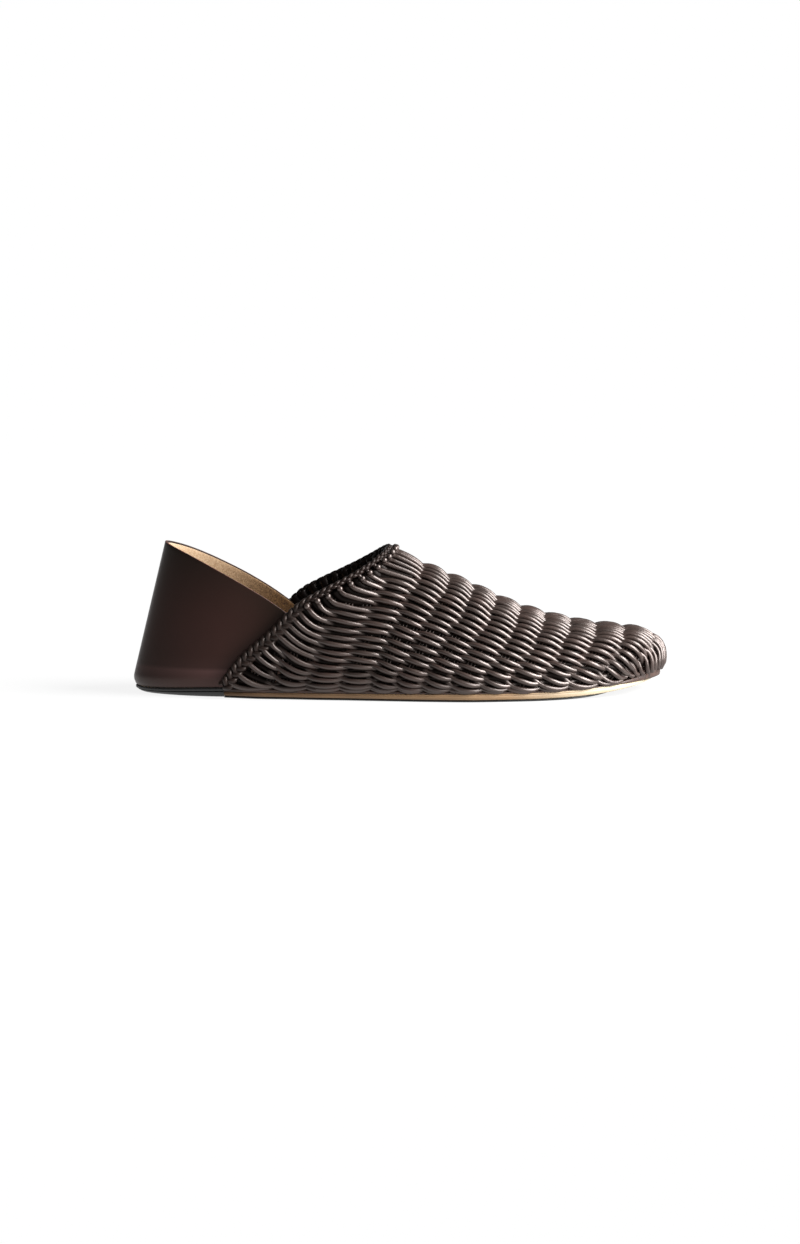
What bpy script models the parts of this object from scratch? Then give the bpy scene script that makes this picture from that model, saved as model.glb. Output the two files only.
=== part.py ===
"""Woven leather mule for the right foot: a twined cord vamp and a soft leather heel quarter on a flat sole.

Sizes are in millimetres and MM turns them into Blender's metres. X runs from the heel's back to the
toe, -Y is the outer (lateral) side of the foot and Z is up from the floor.
"""

import math
from collections import namedtuple

import bmesh
import bpy
import numpy as np
from mathutils import Vector

MM = 0.001
NAME = "woven_mule"

# Last: the shape that heel quarter and vamp are drawn over
LAST_BACK = -1.2
LAST_LENGTH = 252.7
HEEL_ROUND = 50.0
TOE_ROUND = 50.0
RIDGE_INWARD = 2.0
FEATHER_AT_BACK = 3.4
FEATHER_AT_BREAST = 5.0
SPRING_START = 190.0
SPRING_RATE = 0.0012
TUCK_DEPTH = 2.2
TUCK_HEIGHT = 5.0
TIP_BLEND = (240.0, 247.0)
STRAIGHT_LEAN = 1.0
CURVED_LEAN = 1.4
PLAN_REACH = 0.002
STATION_REACH = 0.0008
ANGLE_REACH = 0.004

# Sole layers, from the floor up
BREAST_X = 44.0
LAYER_GAP = 0.3
TREAD_THICKNESS = 0.9
TREAD_INSET = 1.3
TREAD_TOE_INSET = 12.0
TREAD_NARROWS = (212.0, 246.0)
RIM_THICKNESS = 1.5
RIM_INSET = 2.0
LIFT_TOP_INSET = 2.6
LIFT_FLOOR_INSET = 5.0
OUTSOLE_OUTSET = 2.4
OUTSOLE_WIDENS = (34.0, 64.0)
INSOLE_THICKNESS = 2.5
INSOLE_INSET_HEEL = 5.0
INSOLE_INSET_FRONT = 3.6
INSOLE_WIDENS = (85.0, 110.0)
SOLE_TIP = 0.02

# Upper walls
QUARTER_WALL = 2.0
QUARTER_LAP = 8.0
VAMP_CLEARANCE = 0.6
VAMP_WALL = 3.8
BRAID_RADIUS = 2.1
BRAID_CLEARANCE = 0.5
BRAID_FOOT_ANGLE = 0.01
HIGHEST_TOP = 80.0

# Where edges are looked for: places on the feather line, and stations ahead of the collar
COLLAR_SEARCH = (30.0, 112.0)
QUARTER_SEARCH = (30.0, 90.0)
VAMP_EDGE_SEARCH = 0.05
HALVINGS = 40

# Where the origin lies: under the middle of the whole shoe
MIDDLE_X = 128.14
MIDDLE_Y = 0.07

Plan = namedtuple("Plan", "x centre half")
PLAN = (
    Plan(0, 0.0, 28.0),
    Plan(40, 0.0, 29.2),
    Plan(70, -2.0, 29.8),
    Plan(95, -3.8, 31.4),
    Plan(120, -3.4, 35.2),
    Plan(145, -2.0, 39.8),
    Plan(165, -0.6, 42.0),
    Plan(185, 1.2, 41.2),
    Plan(205, 3.2, 38.8),
    Plan(230, 6.0, 36.0),
    Plan(252, 8.5, 33.0),
)

# Sections lean forward from the feather line: ridge height, forward lean at the ridge, fullness exponent
Section = namedtuple("Section", "x ridge lean fullness")
SECTIONS = (
    Section(0, 105.0, 24.2, 4.0),
    Section(40, 104.0, 25.5, 3.6),
    Section(65, 94.0, 27.5, 2.9),
    Section(80, 82.0, 28.0, 2.5),
    Section(96, 66.0, 26.5, 2.2),
    Section(112, 59.0, 24.5, 2.15),
    Section(137, 48.5, 22.9, 2.15),
    Section(164, 37.6, 19.5, 2.2),
    Section(190, 30.4, 17.5, 2.3),
    Section(205, 27.7, 15.8, 2.35),
    Section(220, 26.2, 15.2, 2.4),
    Section(233, 23.4, 15.0, 2.4),
    Section(240, 20.2, 10.8, 2.4),
    Section(246, 16.4, 5.8, 2.4),
    Section(251.5, 9.54, 0.0, 2.4),
)

# Middle of the braided edge, seen from the side
Collar = namedtuple("Collar", "z x")
COLLAR = (
    Collar(5, 41.5),
    Collar(18, 51.0),
    Collar(31, 65.5),
    Collar(44.5, 80.5),
    Collar(52, 95.5),
    Collar(58, 108.0),
    Collar(63, 117.5),
    Collar(66.5, 124.0),
    Collar(70, 130.0),
)

# Top edge of the heel quarter, seen from the side
TopEdge = namedtuple("TopEdge", "x z")
TOP_EDGE = (
    TopEdge(15, 72.3),
    TopEdge(27, 67.5),
    TopEdge(48, 57.0),
    TopEdge(62, 49.0),
    TopEdge(82, 36.2),
)

# Mesh fineness
VAMP_ROWS_PER_SIDE = 15
ROW_CROWDING = 1.6
VAMP_COLUMNS = 34
QUARTER_COLUMNS_PER_SIDE = 18
QUARTER_ROWS = 10
SOLE_STATIONS = 40
BRAID_POINTS = 60
BRAID_FINE_POINTS = 300
BRAID_ROUNDNESS = 2
SHARP_ANGLE = math.radians(40)
MERGE_DISTANCE = 0.02 * MM

# Base colours (linear RGB) and roughness of each piece
Finish = namedtuple("Finish", "colour roughness")
FINISHES = {
    "outsole": Finish((0.47, 0.27, 0.13), 0.65),
    "tread": Finish((0.012, 0.012, 0.012), 0.75),
    "heel_lift": Finish((0.012, 0.012, 0.012), 0.6),
    "heel_rim": Finish((0.014, 0.012, 0.011), 0.5),
    "insole": Finish((0.035, 0.017, 0.011), 0.6),
    "vamp": Finish((0.045, 0.033, 0.030), 0.45),
    "heel_quarter": Finish((0.035, 0.014, 0.013), 0.4),
    "collar_braid": Finish((0.045, 0.033, 0.030), 0.45),
}


def smooth_curve(rows, across, up):
    """Monotone cubic through two named columns of a table, flat beyond its ends."""
    xs = np.array([getattr(row, across) for row in rows], float)
    ys = np.array([getattr(row, up) for row in rows], float)
    slopes = np.diff(ys) / np.diff(xs)
    tangents = np.concatenate(([slopes[0]], np.zeros(len(xs) - 2), [slopes[-1]]))
    for i in range(1, len(xs) - 1):
        before, after = slopes[i - 1], slopes[i]
        if before * after > 0:
            tangents[i] = 2 * before * after / (before + after)

    def value(x):
        x = min(max(x, xs[0]), xs[-1])
        i = min(int(np.searchsorted(xs, x, side="right")) - 1, len(xs) - 2)
        step = xs[i + 1] - xs[i]
        t = (x - xs[i]) / step
        rise = ys[i + 1] - ys[i]
        bend = tangents[i] * step - rise
        return ys[i] + t * rise + t * (1 - t) * ((1 - t) * bend + t * (rise - tangents[i + 1] * step))

    return value


def smooth_step(x, low, high):
    """0 below low, 1 above high, and an even ease between them."""
    t = min(max((x - low) / (high - low), 0.0), 1.0)
    return t * t * (3 - 2 * t)


def solve(error, low, high):
    """Value between low and high where error changes sign, by halving."""
    low_sign = error(low) > 0
    for _ in range(HALVINGS):
        middle = (low + high) / 2
        if (error(middle) > 0) == low_sign:
            low = middle
        else:
            high = middle
    return (low + high) / 2


plan_centre = smooth_curve(PLAN, "x", "centre")
plan_half = smooth_curve(PLAN, "x", "half")
ridge_height = smooth_curve(SECTIONS, "x", "ridge")
ridge_lean = smooth_curve(SECTIONS, "x", "lean")
fullness = smooth_curve(SECTIONS, "x", "fullness")
collar_x = smooth_curve(COLLAR, "z", "x")
top_edge_z = smooth_curve(TOP_EDGE, "x", "z")


def feather_x(s):
    """Feather line station, 0 at the heel's back and 1 at the toe tip, close set at both ends."""
    return LAST_BACK + LAST_LENGTH * (1 - math.cos(math.pi * s)) / 2


def station_at(x):
    """Station whose feather line lies at x."""
    return math.acos(1 - 2 * (x - LAST_BACK) / LAST_LENGTH) / math.pi


def toe_spring(x):
    """Rise of the sole ahead of the ball."""
    return SPRING_RATE * max(x - SPRING_START, 0.0) ** 2


def feather_z(x):
    """Height of the feather line, where the upper meets the sole."""
    at_heel = FEATHER_AT_BACK + (FEATHER_AT_BREAST - FEATHER_AT_BACK) * smooth_step(x, 0, BREAST_X)
    return at_heel + toe_spring(x)


def half_width(x):
    """Half the last's width, rounded off at heel and toe."""
    heel = max(1 - (x - LAST_BACK) / HEEL_ROUND, 0.0)
    toe = max(1 - (LAST_BACK + LAST_LENGTH - x) / TOE_ROUND, 0.0)
    return plan_half(x) * math.sqrt(max((1 - heel * heel) * (1 - toe * toe), 0.0))


def plan_point(s, side):
    """Feather line seen from above; side is -1 on the outer side and +1 on the inner side."""
    x = feather_x(s)
    return Vector((x, plan_centre(x) + side * half_width(x)))


def plan_normal(s, side):
    """Outward direction of the feather line seen from above."""
    if s < PLAN_REACH:
        return Vector((-1.0, 0.0))
    if s > 1 - PLAN_REACH:
        return Vector((1.0, 0.0))
    along = plan_point(s + PLAN_REACH, side) - plan_point(s - PLAN_REACH, side)
    return (Vector((along.y, -along.x)) * -side).normalized()


def level_normal(s, side, spread):
    """Level outward direction of the last, straight ahead or back where its two sides meet."""
    normal = plan_normal(s, side)
    return Vector((normal.x, normal.y * spread, 0.0)).normalized()


def last_point(s, side, rise, spread):
    """Point of the last; rise is 0 at the feather line and 1 at the ridge, spread the other way."""
    x = feather_x(s)
    bottom = feather_z(x)
    ridge_y = plan_centre(x) + RIDGE_INWARD * rise * (1 - smooth_step(x, *TIP_BLEND))
    z = bottom + (ridge_height(x) - bottom) * rise
    bow = STRAIGHT_LEAN + (CURVED_LEAN - STRAIGHT_LEAN) * smooth_step(x, HEEL_ROUND, 2 * HEEL_ROUND)
    point = Vector((x + ridge_lean(x) * rise**bow, ridge_y + side * half_width(x) * spread, z))
    tuck = TUCK_DEPTH * max(1 - (z - bottom) / TUCK_HEIGHT, 0.0) ** 2
    return point - level_normal(s, side, spread) * tuck


def arch_place(s, angle):
    """Side, rise and spread of the last at an angle over the foot."""
    side = -1 if angle <= math.pi / 2 else 1
    across, up = abs(math.cos(angle)), math.sin(angle)
    power = fullness(feather_x(s))
    radius = (across**power + up**power) ** (-1 / power)
    return side, radius * up, radius * across


def arch_point(s, angle):
    """Point of the last at an angle over the foot: 0 outer feather line, pi/2 ridge, pi inner line."""
    return last_point(s, *arch_place(s, angle))


def arch_normal(s, angle):
    """Outward direction of the last at a point given as for arch_point."""
    along = arch_point(s + STATION_REACH, angle) - arch_point(s - STATION_REACH, angle)
    over_high = arch_point(s, min(angle + ANGLE_REACH, math.pi))
    over_low = arch_point(s, max(angle - ANGLE_REACH, 0.0))
    return along.cross(over_high - over_low).normalized()


def arch_offset(s, angle, height):
    """Point at a height over the last, level with it where the last curls under and at the toe tip."""
    side, rise, spread = arch_place(s, angle)
    outward = level_normal(s, side, spread)
    share = smooth_step(feather_x(s), *TIP_BLEND)
    if share < 1:
        normal = arch_normal(s, angle)
        normal.z = max(normal.z, 0.0)
        outward = outward * share + normal.normalized() * (1 - share)
    return last_point(s, side, rise, spread) + outward.normalized() * height


def collar_station(angle):
    """Station where the braided edge crosses the line of one angle over the foot."""

    def ahead(s):
        point = arch_point(s, angle)
        return point.x - collar_x(point.z)

    return solve(ahead, *map(station_at, COLLAR_SEARCH))


def braid_line(count):
    """Middle line of the braided edge, up one side, round the throat and down the other."""
    reach = math.pi - 2 * BRAID_FOOT_ANGLE
    angles = [BRAID_FOOT_ANGLE + reach * i / count for i in range(count + 1)]
    return [arch_offset(collar_station(angle), angle, VAMP_CLEARANCE + BRAID_RADIUS) for angle in angles]


def vamp_edge_station(angle, braid):
    """Station where the woven wall starts, clear of the braid's middle line."""
    start = collar_station(angle)

    def apart(s):
        middle = arch_offset(s, angle, VAMP_CLEARANCE + VAMP_WALL / 2)
        return min((middle - point).length for point in braid) - BRAID_RADIUS - BRAID_CLEARANCE

    return solve(apart, start, start + VAMP_EDGE_SEARCH)


def place(point):
    """Millimetres from the heel's back to metres from the part's origin."""
    return Vector((point.x - MIDDLE_X, point.y - MIDDLE_Y, point.z)) * MM


def clear_scene():
    """Remove whatever the scene holds."""
    for thing in list(bpy.data.objects):
        bpy.data.objects.remove(thing, do_unlink=True)


def make_collection():
    """Collection that holds the shoe's pieces."""
    collection = bpy.data.collections.new(NAME)
    bpy.context.scene.collection.children.link(collection)
    return collection


def make_material(name):
    """Principled material of one piece."""
    finish = FINISHES[name]
    material = bpy.data.materials.new(name)
    material.use_nodes = True
    shader = material.node_tree.nodes["Principled BSDF"]
    shader.inputs["Base Color"].default_value = (*finish.colour, 1.0)
    shader.inputs["Roughness"].default_value = finish.roughness
    shader.inputs["Metallic"].default_value = 0.0
    return material


def add_piece(collection, name, mesh):
    """Object of one piece, with its material and smooth shading."""
    mesh.materials.append(make_material(name))
    mesh.shade_smooth()
    mesh.set_sharp_from_angle(angle=SHARP_ANGLE)
    piece = bpy.data.objects.new(name, mesh)
    collection.objects.link(piece)
    return piece


def add_sheet(shape, rows):
    """Sheet of faces through rows of points; returns its rows of corners."""
    lines = [[shape.verts.new(place(point)) for point in row] for row in rows]
    for lower, upper in zip(lines, lines[1:]):
        for i in range(len(lower) - 1):
            shape.faces.new((lower[i], lower[i + 1], upper[i + 1], upper[i]))
    return lines


def finish_mesh(shape, name):
    """Mesh of a finished shape, with points that coincide joined."""
    bmesh.ops.remove_doubles(shape, verts=shape.verts, dist=MERGE_DISTANCE)
    mesh = bpy.data.meshes.new(name)
    shape.to_mesh(mesh)
    shape.free()
    return mesh


def face_outward(mesh):
    """Turn a closed mesh's faces outward."""
    shape = bmesh.new()
    shape.from_mesh(mesh)
    bmesh.ops.recalc_face_normals(shape, faces=shape.faces)
    shape.to_mesh(mesh)
    shape.free()


def make_vamp(collection):
    """Woven upper, one wall from the braided edge over the toe, open underneath."""
    shape = bmesh.new()
    shares = [(i / VAMP_ROWS_PER_SIDE) ** ROW_CROWDING for i in range(VAMP_ROWS_PER_SIDE + 1)]
    outer = [share * math.pi / 2 for share in shares]
    angles = outer + [math.pi - angle for angle in reversed(outer[:-1])]
    braid = braid_line(BRAID_FINE_POINTS)
    starts = [vamp_edge_station(angle, braid) for angle in angles]
    steps = [i / VAMP_COLUMNS for i in range(VAMP_COLUMNS + 1)]
    skins = []
    for height in (VAMP_CLEARANCE, VAMP_CLEARANCE + VAMP_WALL):
        rows = [
            [arch_offset(start + (1 - start) * step, angle, height) for step in steps]
            for angle, start in zip(angles, starts)
        ]
        skins.append(add_sheet(shape, rows))
    inside, outside = skins
    for row in (0, -1):
        for i in range(VAMP_COLUMNS):
            shape.faces.new((inside[row][i], inside[row][i + 1], outside[row][i + 1], outside[row][i]))
    for j in range(len(angles) - 1):
        shape.faces.new((inside[j][0], inside[j + 1][0], outside[j + 1][0], outside[j][0]))
    mesh = finish_mesh(shape, "vamp")
    face_outward(mesh)
    add_piece(collection, "vamp", mesh)


def quarter_point(s, side, share):
    """Point of the heel leather at a share of its height, 0 at the feather line and 1 at its top edge."""
    x = feather_x(s)
    bottom, ridge = feather_z(x), ridge_height(x)

    def over_edge(z):
        rise = (z - bottom) / (ridge - bottom)
        return z - top_edge_z(x + ridge_lean(x) * rise)

    top = solve(over_edge, bottom, HIGHEST_TOP)
    rise = share * (top - bottom) / (ridge - bottom)
    spread = (1 - rise ** fullness(x)) ** (1 / fullness(x))
    return last_point(s, side, rise, spread)


def quarter_front(share):
    """Station of the heel leather's front edge, lapped under the vamp."""

    def ahead(s):
        point = quarter_point(s, -1, share)
        return point.x - collar_x(point.z) - QUARTER_LAP

    return solve(ahead, *map(station_at, QUARTER_SEARCH))


def make_heel_quarter(collection):
    """Soft leather around the heel, open on top and underneath, with its fronts under the vamp."""
    rows = []
    for j in range(QUARTER_ROWS + 1):
        share = (j / QUARTER_ROWS) ** ROW_CROWDING
        front = quarter_front(share)
        steps = [i / QUARTER_COLUMNS_PER_SIDE for i in range(QUARTER_COLUMNS_PER_SIDE + 1)]
        outer = [quarter_point(front * step, -1, share) for step in reversed(steps)]
        inner = [quarter_point(front * step, 1, share) for step in steps[1:]]
        rows.append(outer + inner)
    shape = bmesh.new()
    add_sheet(shape, rows)
    piece = add_piece(collection, "heel_quarter", finish_mesh(shape, "heel_quarter"))
    wall = piece.modifiers.new("wall", "SOLIDIFY")
    wall.thickness = QUARTER_WALL * MM
    wall.offset = 1
    wall.use_even_offset = True


def make_collar_braid(collection):
    """Rolled edge of the vamp, up one side, round the throat and down the other."""
    curve = bpy.data.curves.new("collar_braid", "CURVE")
    curve.dimensions = "3D"
    curve.bevel_depth = BRAID_RADIUS * MM
    curve.bevel_resolution = BRAID_ROUNDNESS
    curve.use_fill_caps = True
    spline = curve.splines.new("POLY")
    spline.points.add(BRAID_POINTS)
    for point, spot in zip(spline.points, braid_line(BRAID_POINTS)):
        point.co = (*place(spot), 1.0)
    curve.materials.append(make_material("collar_braid"))
    collection.objects.link(bpy.data.objects.new("collar_braid", curve))


def make_layer(collection, name, stations, low_edge, high_edge, low, high, cut):
    """Flat layer along the sole: edges give its outset from the last, low and high its two heights.

    Heights follow the outsole's own bend, so layers of unlike width lie on each other. cut holds the
    smallest and largest x that the layer may reach.
    """
    layer = bmesh.new()
    rings = []
    corners = ((-1, low_edge, low), (1, low_edge, low), (1, high_edge, high), (-1, high_edge, high))
    for s in stations:
        ring = []
        for side, edge, height in corners:
            normal = plan_normal(s, side)
            spot = plan_point(s, side) + normal * edge(feather_x(s))
            z = height(spot.x - normal.x * outsole_edge(feather_x(s)))
            spot.x = min(max(spot.x, cut[0]), cut[1])
            ring.append(layer.verts.new(place(Vector((spot.x, spot.y, z)))))
        rings.append(ring)
    for back, front in zip(rings, rings[1:]):
        for i in range(4):
            j = (i + 1) % 4
            layer.faces.new((back[i], back[j], front[j], front[i]))
    layer.faces.new(rings[0])
    layer.faces.new(rings[-1])
    bmesh.ops.recalc_face_normals(layer, faces=layer.faces)
    mesh = bpy.data.meshes.new(name)
    layer.to_mesh(mesh)
    layer.free()
    return add_piece(collection, name, mesh)


def spread_stations(first, last):
    """Even stations along the sole."""
    return [first + (last - first) * i / SOLE_STATIONS for i in range(SOLE_STATIONS + 1)]


def outsole_edge(x):
    """Outset of the sole's edge, from under the heel leather to flush with the woven wall."""
    return -RIM_INSET + (OUTSOLE_OUTSET + RIM_INSET) * smooth_step(x, *OUTSOLE_WIDENS)


def make_sole(collection):
    """Heel block and rim at the back, outsole and tread from the breast to the toe, and the insole."""
    whole = (0.0, LAST_LENGTH + OUTSOLE_OUTSET)
    behind_breast = (0.0, BREAST_X - LAYER_GAP / 2)
    ahead_of_breast = (BREAST_X + LAYER_GAP / 2, LAST_LENGTH + OUTSOLE_OUTSET)
    heel = spread_stations(SOLE_TIP, station_at(BREAST_X))

    def rim_low(x):
        return feather_z(x) - LAYER_GAP - RIM_THICKNESS

    def seat(x):
        return feather_z(x) - LAYER_GAP

    def constant(value):
        return lambda x: value

    make_layer(
        collection, "heel_lift", heel, constant(-LIFT_FLOOR_INSET), constant(-LIFT_TOP_INSET),
        constant(0.0), lambda x: rim_low(x) - LAYER_GAP, behind_breast,
    )
    rim_edge = constant(-RIM_INSET)
    make_layer(collection, "heel_rim", heel, rim_edge, rim_edge, rim_low, seat, behind_breast)
    front = spread_stations(station_at(BREAST_X), 1 - SOLE_TIP)
    make_layer(
        collection, "outsole", front, outsole_edge, outsole_edge,
        lambda x: TREAD_THICKNESS + LAYER_GAP + toe_spring(x), seat, ahead_of_breast,
    )

    def tread_edge(x):
        inset = TREAD_INSET + (TREAD_TOE_INSET - TREAD_INSET) * smooth_step(x, *TREAD_NARROWS)
        return outsole_edge(x) - inset

    make_layer(
        collection, "tread", front, tread_edge, tread_edge,
        toe_spring, lambda x: TREAD_THICKNESS + toe_spring(x), ahead_of_breast,
    )

    def insole_edge(x):
        return -INSOLE_INSET_HEEL + (INSOLE_INSET_HEEL - INSOLE_INSET_FRONT) * smooth_step(x, *INSOLE_WIDENS)

    make_layer(
        collection, "insole", spread_stations(SOLE_TIP, 1 - SOLE_TIP), insole_edge, insole_edge,
        feather_z, lambda x: feather_z(x) + INSOLE_THICKNESS, whole,
    )


def main():
    """Build the shoe."""
    clear_scene()
    collection = make_collection()
    make_sole(collection)
    make_heel_quarter(collection)
    make_vamp(collection)
    make_collar_braid(collection)


main()
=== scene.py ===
"""Looks of a woven leather mule for the right foot, laid out as an add-on with one operator for each piece.

Shapes are worked out in millimetres: X runs from the heel's back to the toe, -Y is the outer side of the
foot and Z is up from the floor. MM turns them into Blender's metres.
"""

import math
from collections import namedtuple

import bpy
import numpy as np
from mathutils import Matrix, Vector


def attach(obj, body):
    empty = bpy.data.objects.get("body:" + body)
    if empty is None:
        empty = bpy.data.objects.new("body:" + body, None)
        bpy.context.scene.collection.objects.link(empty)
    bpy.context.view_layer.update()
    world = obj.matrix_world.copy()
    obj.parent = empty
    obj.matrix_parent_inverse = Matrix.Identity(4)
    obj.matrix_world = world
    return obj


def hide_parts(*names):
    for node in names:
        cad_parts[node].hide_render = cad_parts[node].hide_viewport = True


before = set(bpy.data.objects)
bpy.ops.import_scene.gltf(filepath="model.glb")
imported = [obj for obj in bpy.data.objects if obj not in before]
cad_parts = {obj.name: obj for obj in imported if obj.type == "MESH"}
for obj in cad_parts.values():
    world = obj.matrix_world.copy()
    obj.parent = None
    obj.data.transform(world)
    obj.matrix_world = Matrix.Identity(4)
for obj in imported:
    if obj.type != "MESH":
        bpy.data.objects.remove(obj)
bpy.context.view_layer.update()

bl_info = {
    "name": "Woven leather mule",
    "version": (1, 0, 0),
    "blender": (4, 5, 0),
    "location": "View3D > Sidebar > Woven mule",
    "description": "Makes the visible pieces of a woven leather mule over its packed solids",
    "category": "Object",
}

MM = 0.001
OUTER, INNER = -1, 1
SEED = 7

# Last: the shape that heel quarter and vamp are drawn over
LAST_BACK = -1.2
LAST_LENGTH = 252.7
LAST_TIP = LAST_BACK + LAST_LENGTH
HEEL_ROUND = 50.0
TOE_ROUND = 50.0
RIDGE_INWARD = 2.0
FEATHER_AT_BACK = 3.4
FEATHER_AT_BREAST = 5.0
SPRING_START = 190.0
SPRING_RATE = 0.0012
TUCK_DEPTH = 2.2
TUCK_HEIGHT = 5.0
TIP_BLEND = (240.0, 247.0)
STRAIGHT_LEAN = 1.0
CURVED_LEAN = 1.4
MIDDLE = np.array((128.14, 0.07, 0.0))

# Steps and ranges in which directions and crossings are looked for
PLAN_REACH = 0.002
STATION_REACH = 0.0008
ANGLE_REACH = 0.004
COLLAR_SEARCH = (30.0, 112.0)
QUARTER_SEARCH = (30.0, 90.0)
HIGHEST_TOP = 80.0
LONGEST_DROP = 200.0
HALVINGS = 40
NO_LENGTH = 1e-9

# Sole layers, from the floor up
BREAST_X = 44.0
LAYER_GAP = 0.3
BREAST_GAP = 0.04
TREAD_THICKNESS = 0.9
TREAD_INSET = 1.3
TREAD_TOE_INSET = 12.0
TREAD_NARROWS = (212.0, 246.0)
RIM_THICKNESS = 1.5
RIM_INSET = 2.0
LIFT_TOP_INSET = 2.6
LIFT_FLOOR_INSET = 5.0
OUTSOLE_OUTSET = 2.4
OUTSOLE_WIDENS = (34.0, 64.0)
INSOLE_THICKNESS = 2.5
INSOLE_INSET_HEEL = 5.0
INSOLE_INSET_FRONT = 3.6
INSOLE_WIDENS = (85.0, 110.0)
TOE_BEVEL = 0.9
TOE_BEVEL_RUN = (222.0, 252.0)
RAND_INSET = 0.25
RAND_RISE = 1.6
RAND_RISE_RUN = (226.0, 249.0)
TOE_SETBACK = 3.0
TOE_SETBACK_RUN = (236.0, 252.0)
SOLE_TIP = 0.004
SOLE_STATIONS = 180

# Heel leather
QUARTER_LAP = 8.0
QUARTER_ROWS = 46
QUARTER_COLUMNS = 64
QUARTER_CROWDING = 1.5
LINING_GAP = 0.02
EDGE_ANGLE = math.radians(55)
EDGE_SEGMENTS = 3

# Net of the weave over each side of the last; columns are numbered from the heel
WEAVE_MIDDLE = 2.0
FIRST_COLUMN = 0
LAST_COLUMN = 15
FINE_STEPS = 30
ANGLE_STEPS = 120
ANGLE_CROWDING = 1.5
THROAT_X = 112.0

# Rows of the weave: spacing, starts along the braided edge, run-out along the sole, and unevenness
RIDGE_ROW = 0.36
PITCH_DEPTHS = (0.0, 26.0, 58.0, 74.0)
COLLAR_FOOT = 0.995
EDGE_HEIGHTS = (36.0, 52.0, 66.0)
ROW_STARTS = (0.4, -0.8, -1.3)
SQUEEZE = 0.6
SQUEEZE_HEIGHT = 6.0
FOOT_ROW = 0.9
FOOT_EASE = 1.5
FOOT_LENGTH = 3.6
TOE_FOOT = 3.2
TOE_FOOT_RUN = (224.0, 247.0)
ROW_SWAY = 0.35
ROW_STRAY = 0.2
SLOWEST_SWAY = 0.6
SWAY_RANGE = 0.5
FINE_START = 12.0
COARSER = 3

# Twist of a row's two cords, which change places at the columns' borders
ROW_CORDS = 2
FIRST_STROKE = 0.45
FIRST_REST = 0.25
TURN_WOBBLE = 0.2
TWIST_LAG = 0.35
STEEPNESS = 0.07
LEAST_TWIST = 0.3
LEAST_SLANT = 0.25
SLANT_HEIGHTS = (3.0, 16.0)
SHIFT_HEIGHTS = {OUTER: (9.0, 14.0), INNER: (16.0, 21.0)}
DROOP = 0.55
DROOP_HEIGHTS = (2.0, 16.0)

# Girth of the cords
GIRTHS = (0.92, 1.07)
TIP_POWER = 6.0
START_POWER = 3.0
START_SLIM = 0.85
SLIM_EASES = 1.6
INSIDE_POWER = 3.0
COVER = 0.95
COVER_LENGTHS = (28.0, 46.0)
COVER_HEIGHTS = (12.0, 22.0)
CORD_SIDES = 10

# Ribs under the rows, and the dark strands in painted shade that close the weave from inside
RIB_STRANDS = 3
RIB_PLACE = 0.5
RIB_START = 11.0
RIB_SPARSE = 3
SHORTEST_RIB = 4
BACKING_PLACE = 0.0
BACKING_BREADTH = 2.3
BACKING_HEIGHT = 1.0
SPINE_START = 3.0
SPINE_END = 232.0
RIM_LEAD = 2.4
RIM_SPARSE = 3
RIM_FOOT = 8.5

# Braided edge, and the knuckles with which the upper rows leave it
PLAIT_STRANDS = 3
BRAID_HEIGHT = 2.7
BRAID_FOOT_ANGLE = 0.01
BRAID_FOOT = 6.6
BRAID_POINTS = 700
PLAIT_SLIMS = (36.0, 54.0)
PLAIT_SLIMMEST = 0.27
PLAIT_THINNEST = 0.7
PLAIT_LEADS = (2.3, -0.6, -1.8)
# Painted shade on the plait: a share that grows towards the top of the edge, and full shade on the inner
# side's upper plait, which is seen from inside
PLAIT_SHADES = (0.33, 0.46)
FAR_PLAIT_SHADE = (0.0, 14.0)
FAR_PLAIT_SHADE_HEIGHTS = (36.0, 46.0)
KNUCKLE_HALVES = (1.6, 1.3)
KNUCKLE_TIP = 0.12
KNUCKLE_POINTS = 9
KNUCKLE_TURNS = np.linspace(KNUCKLE_TIP, math.pi - KNUCKLE_TIP, KNUCKLE_POINTS)
KNUCKLE_PLACE = 4
KNUCKLE_REACH = 2
KNUCKLES_OVER = 42.0

# Finishes, over coordinates in metres; a fade holds a value's range and the range that it is spread to
TONE_STEP = 0.37
KEPT_COLUMNS = ("tone", "inside")
CORD_SHINE = 0.8
KNUCKLE_SHINE = 1.0
PLAIT_SHINE = 0.35
# Painted shade: cords inside the wall, the plait and the dark backing strands are mixed towards near-black
# and lose shine, by the share in their inside column
SHADE_SHINE = 0.08
SHADE_FADE = (0.2, 0.6, 0.0, 1.0)
CORD_TINT = (1.0, 0.88, 0.83, 1.0)
CORD_PATCH_SCALE = 90.0
CORD_PATCH_FADE = (0.45, 0.7, 0.0, 0.6)
HEEL_TINT = (1.0, 0.82, 0.76, 1.0)
HEEL_PATCH_SCALE = 22.0
HEEL_PATCH_DETAIL = 2.0
HEEL_PATCH_SHARE = 0.35
# Painted light and shade on the heel leather: burgundy round a lit middle, dark towards the edges, and less
# shine towards the vamp
LIT_MIDDLE = (-0.093, 0.0, 0.03)
RED_STRETCH = (1.0, 0.3, 1.0)
LIT_FADE = (0.006, 0.044, 0.85, 0.0)
RED_RANGE = (0.12, 0.9)
HEEL_SHINE_SHADE = (-0.11, -0.06, 0.34, 0.15)
# Painted reflection of the floor: lighter band low on the heel leather
REFLECTION_FADE_UP = (0.003, 0.02, 0.0, 1.0)
REFLECTION_FADE_ALONG = (-0.12, -0.08, 0.4, 1.0)
SUEDE_SHEEN = 0.3
SUEDE_SHEEN_ROUGHNESS = 0.5
NAP_RANGE = (0.34, 0.66)
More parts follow.
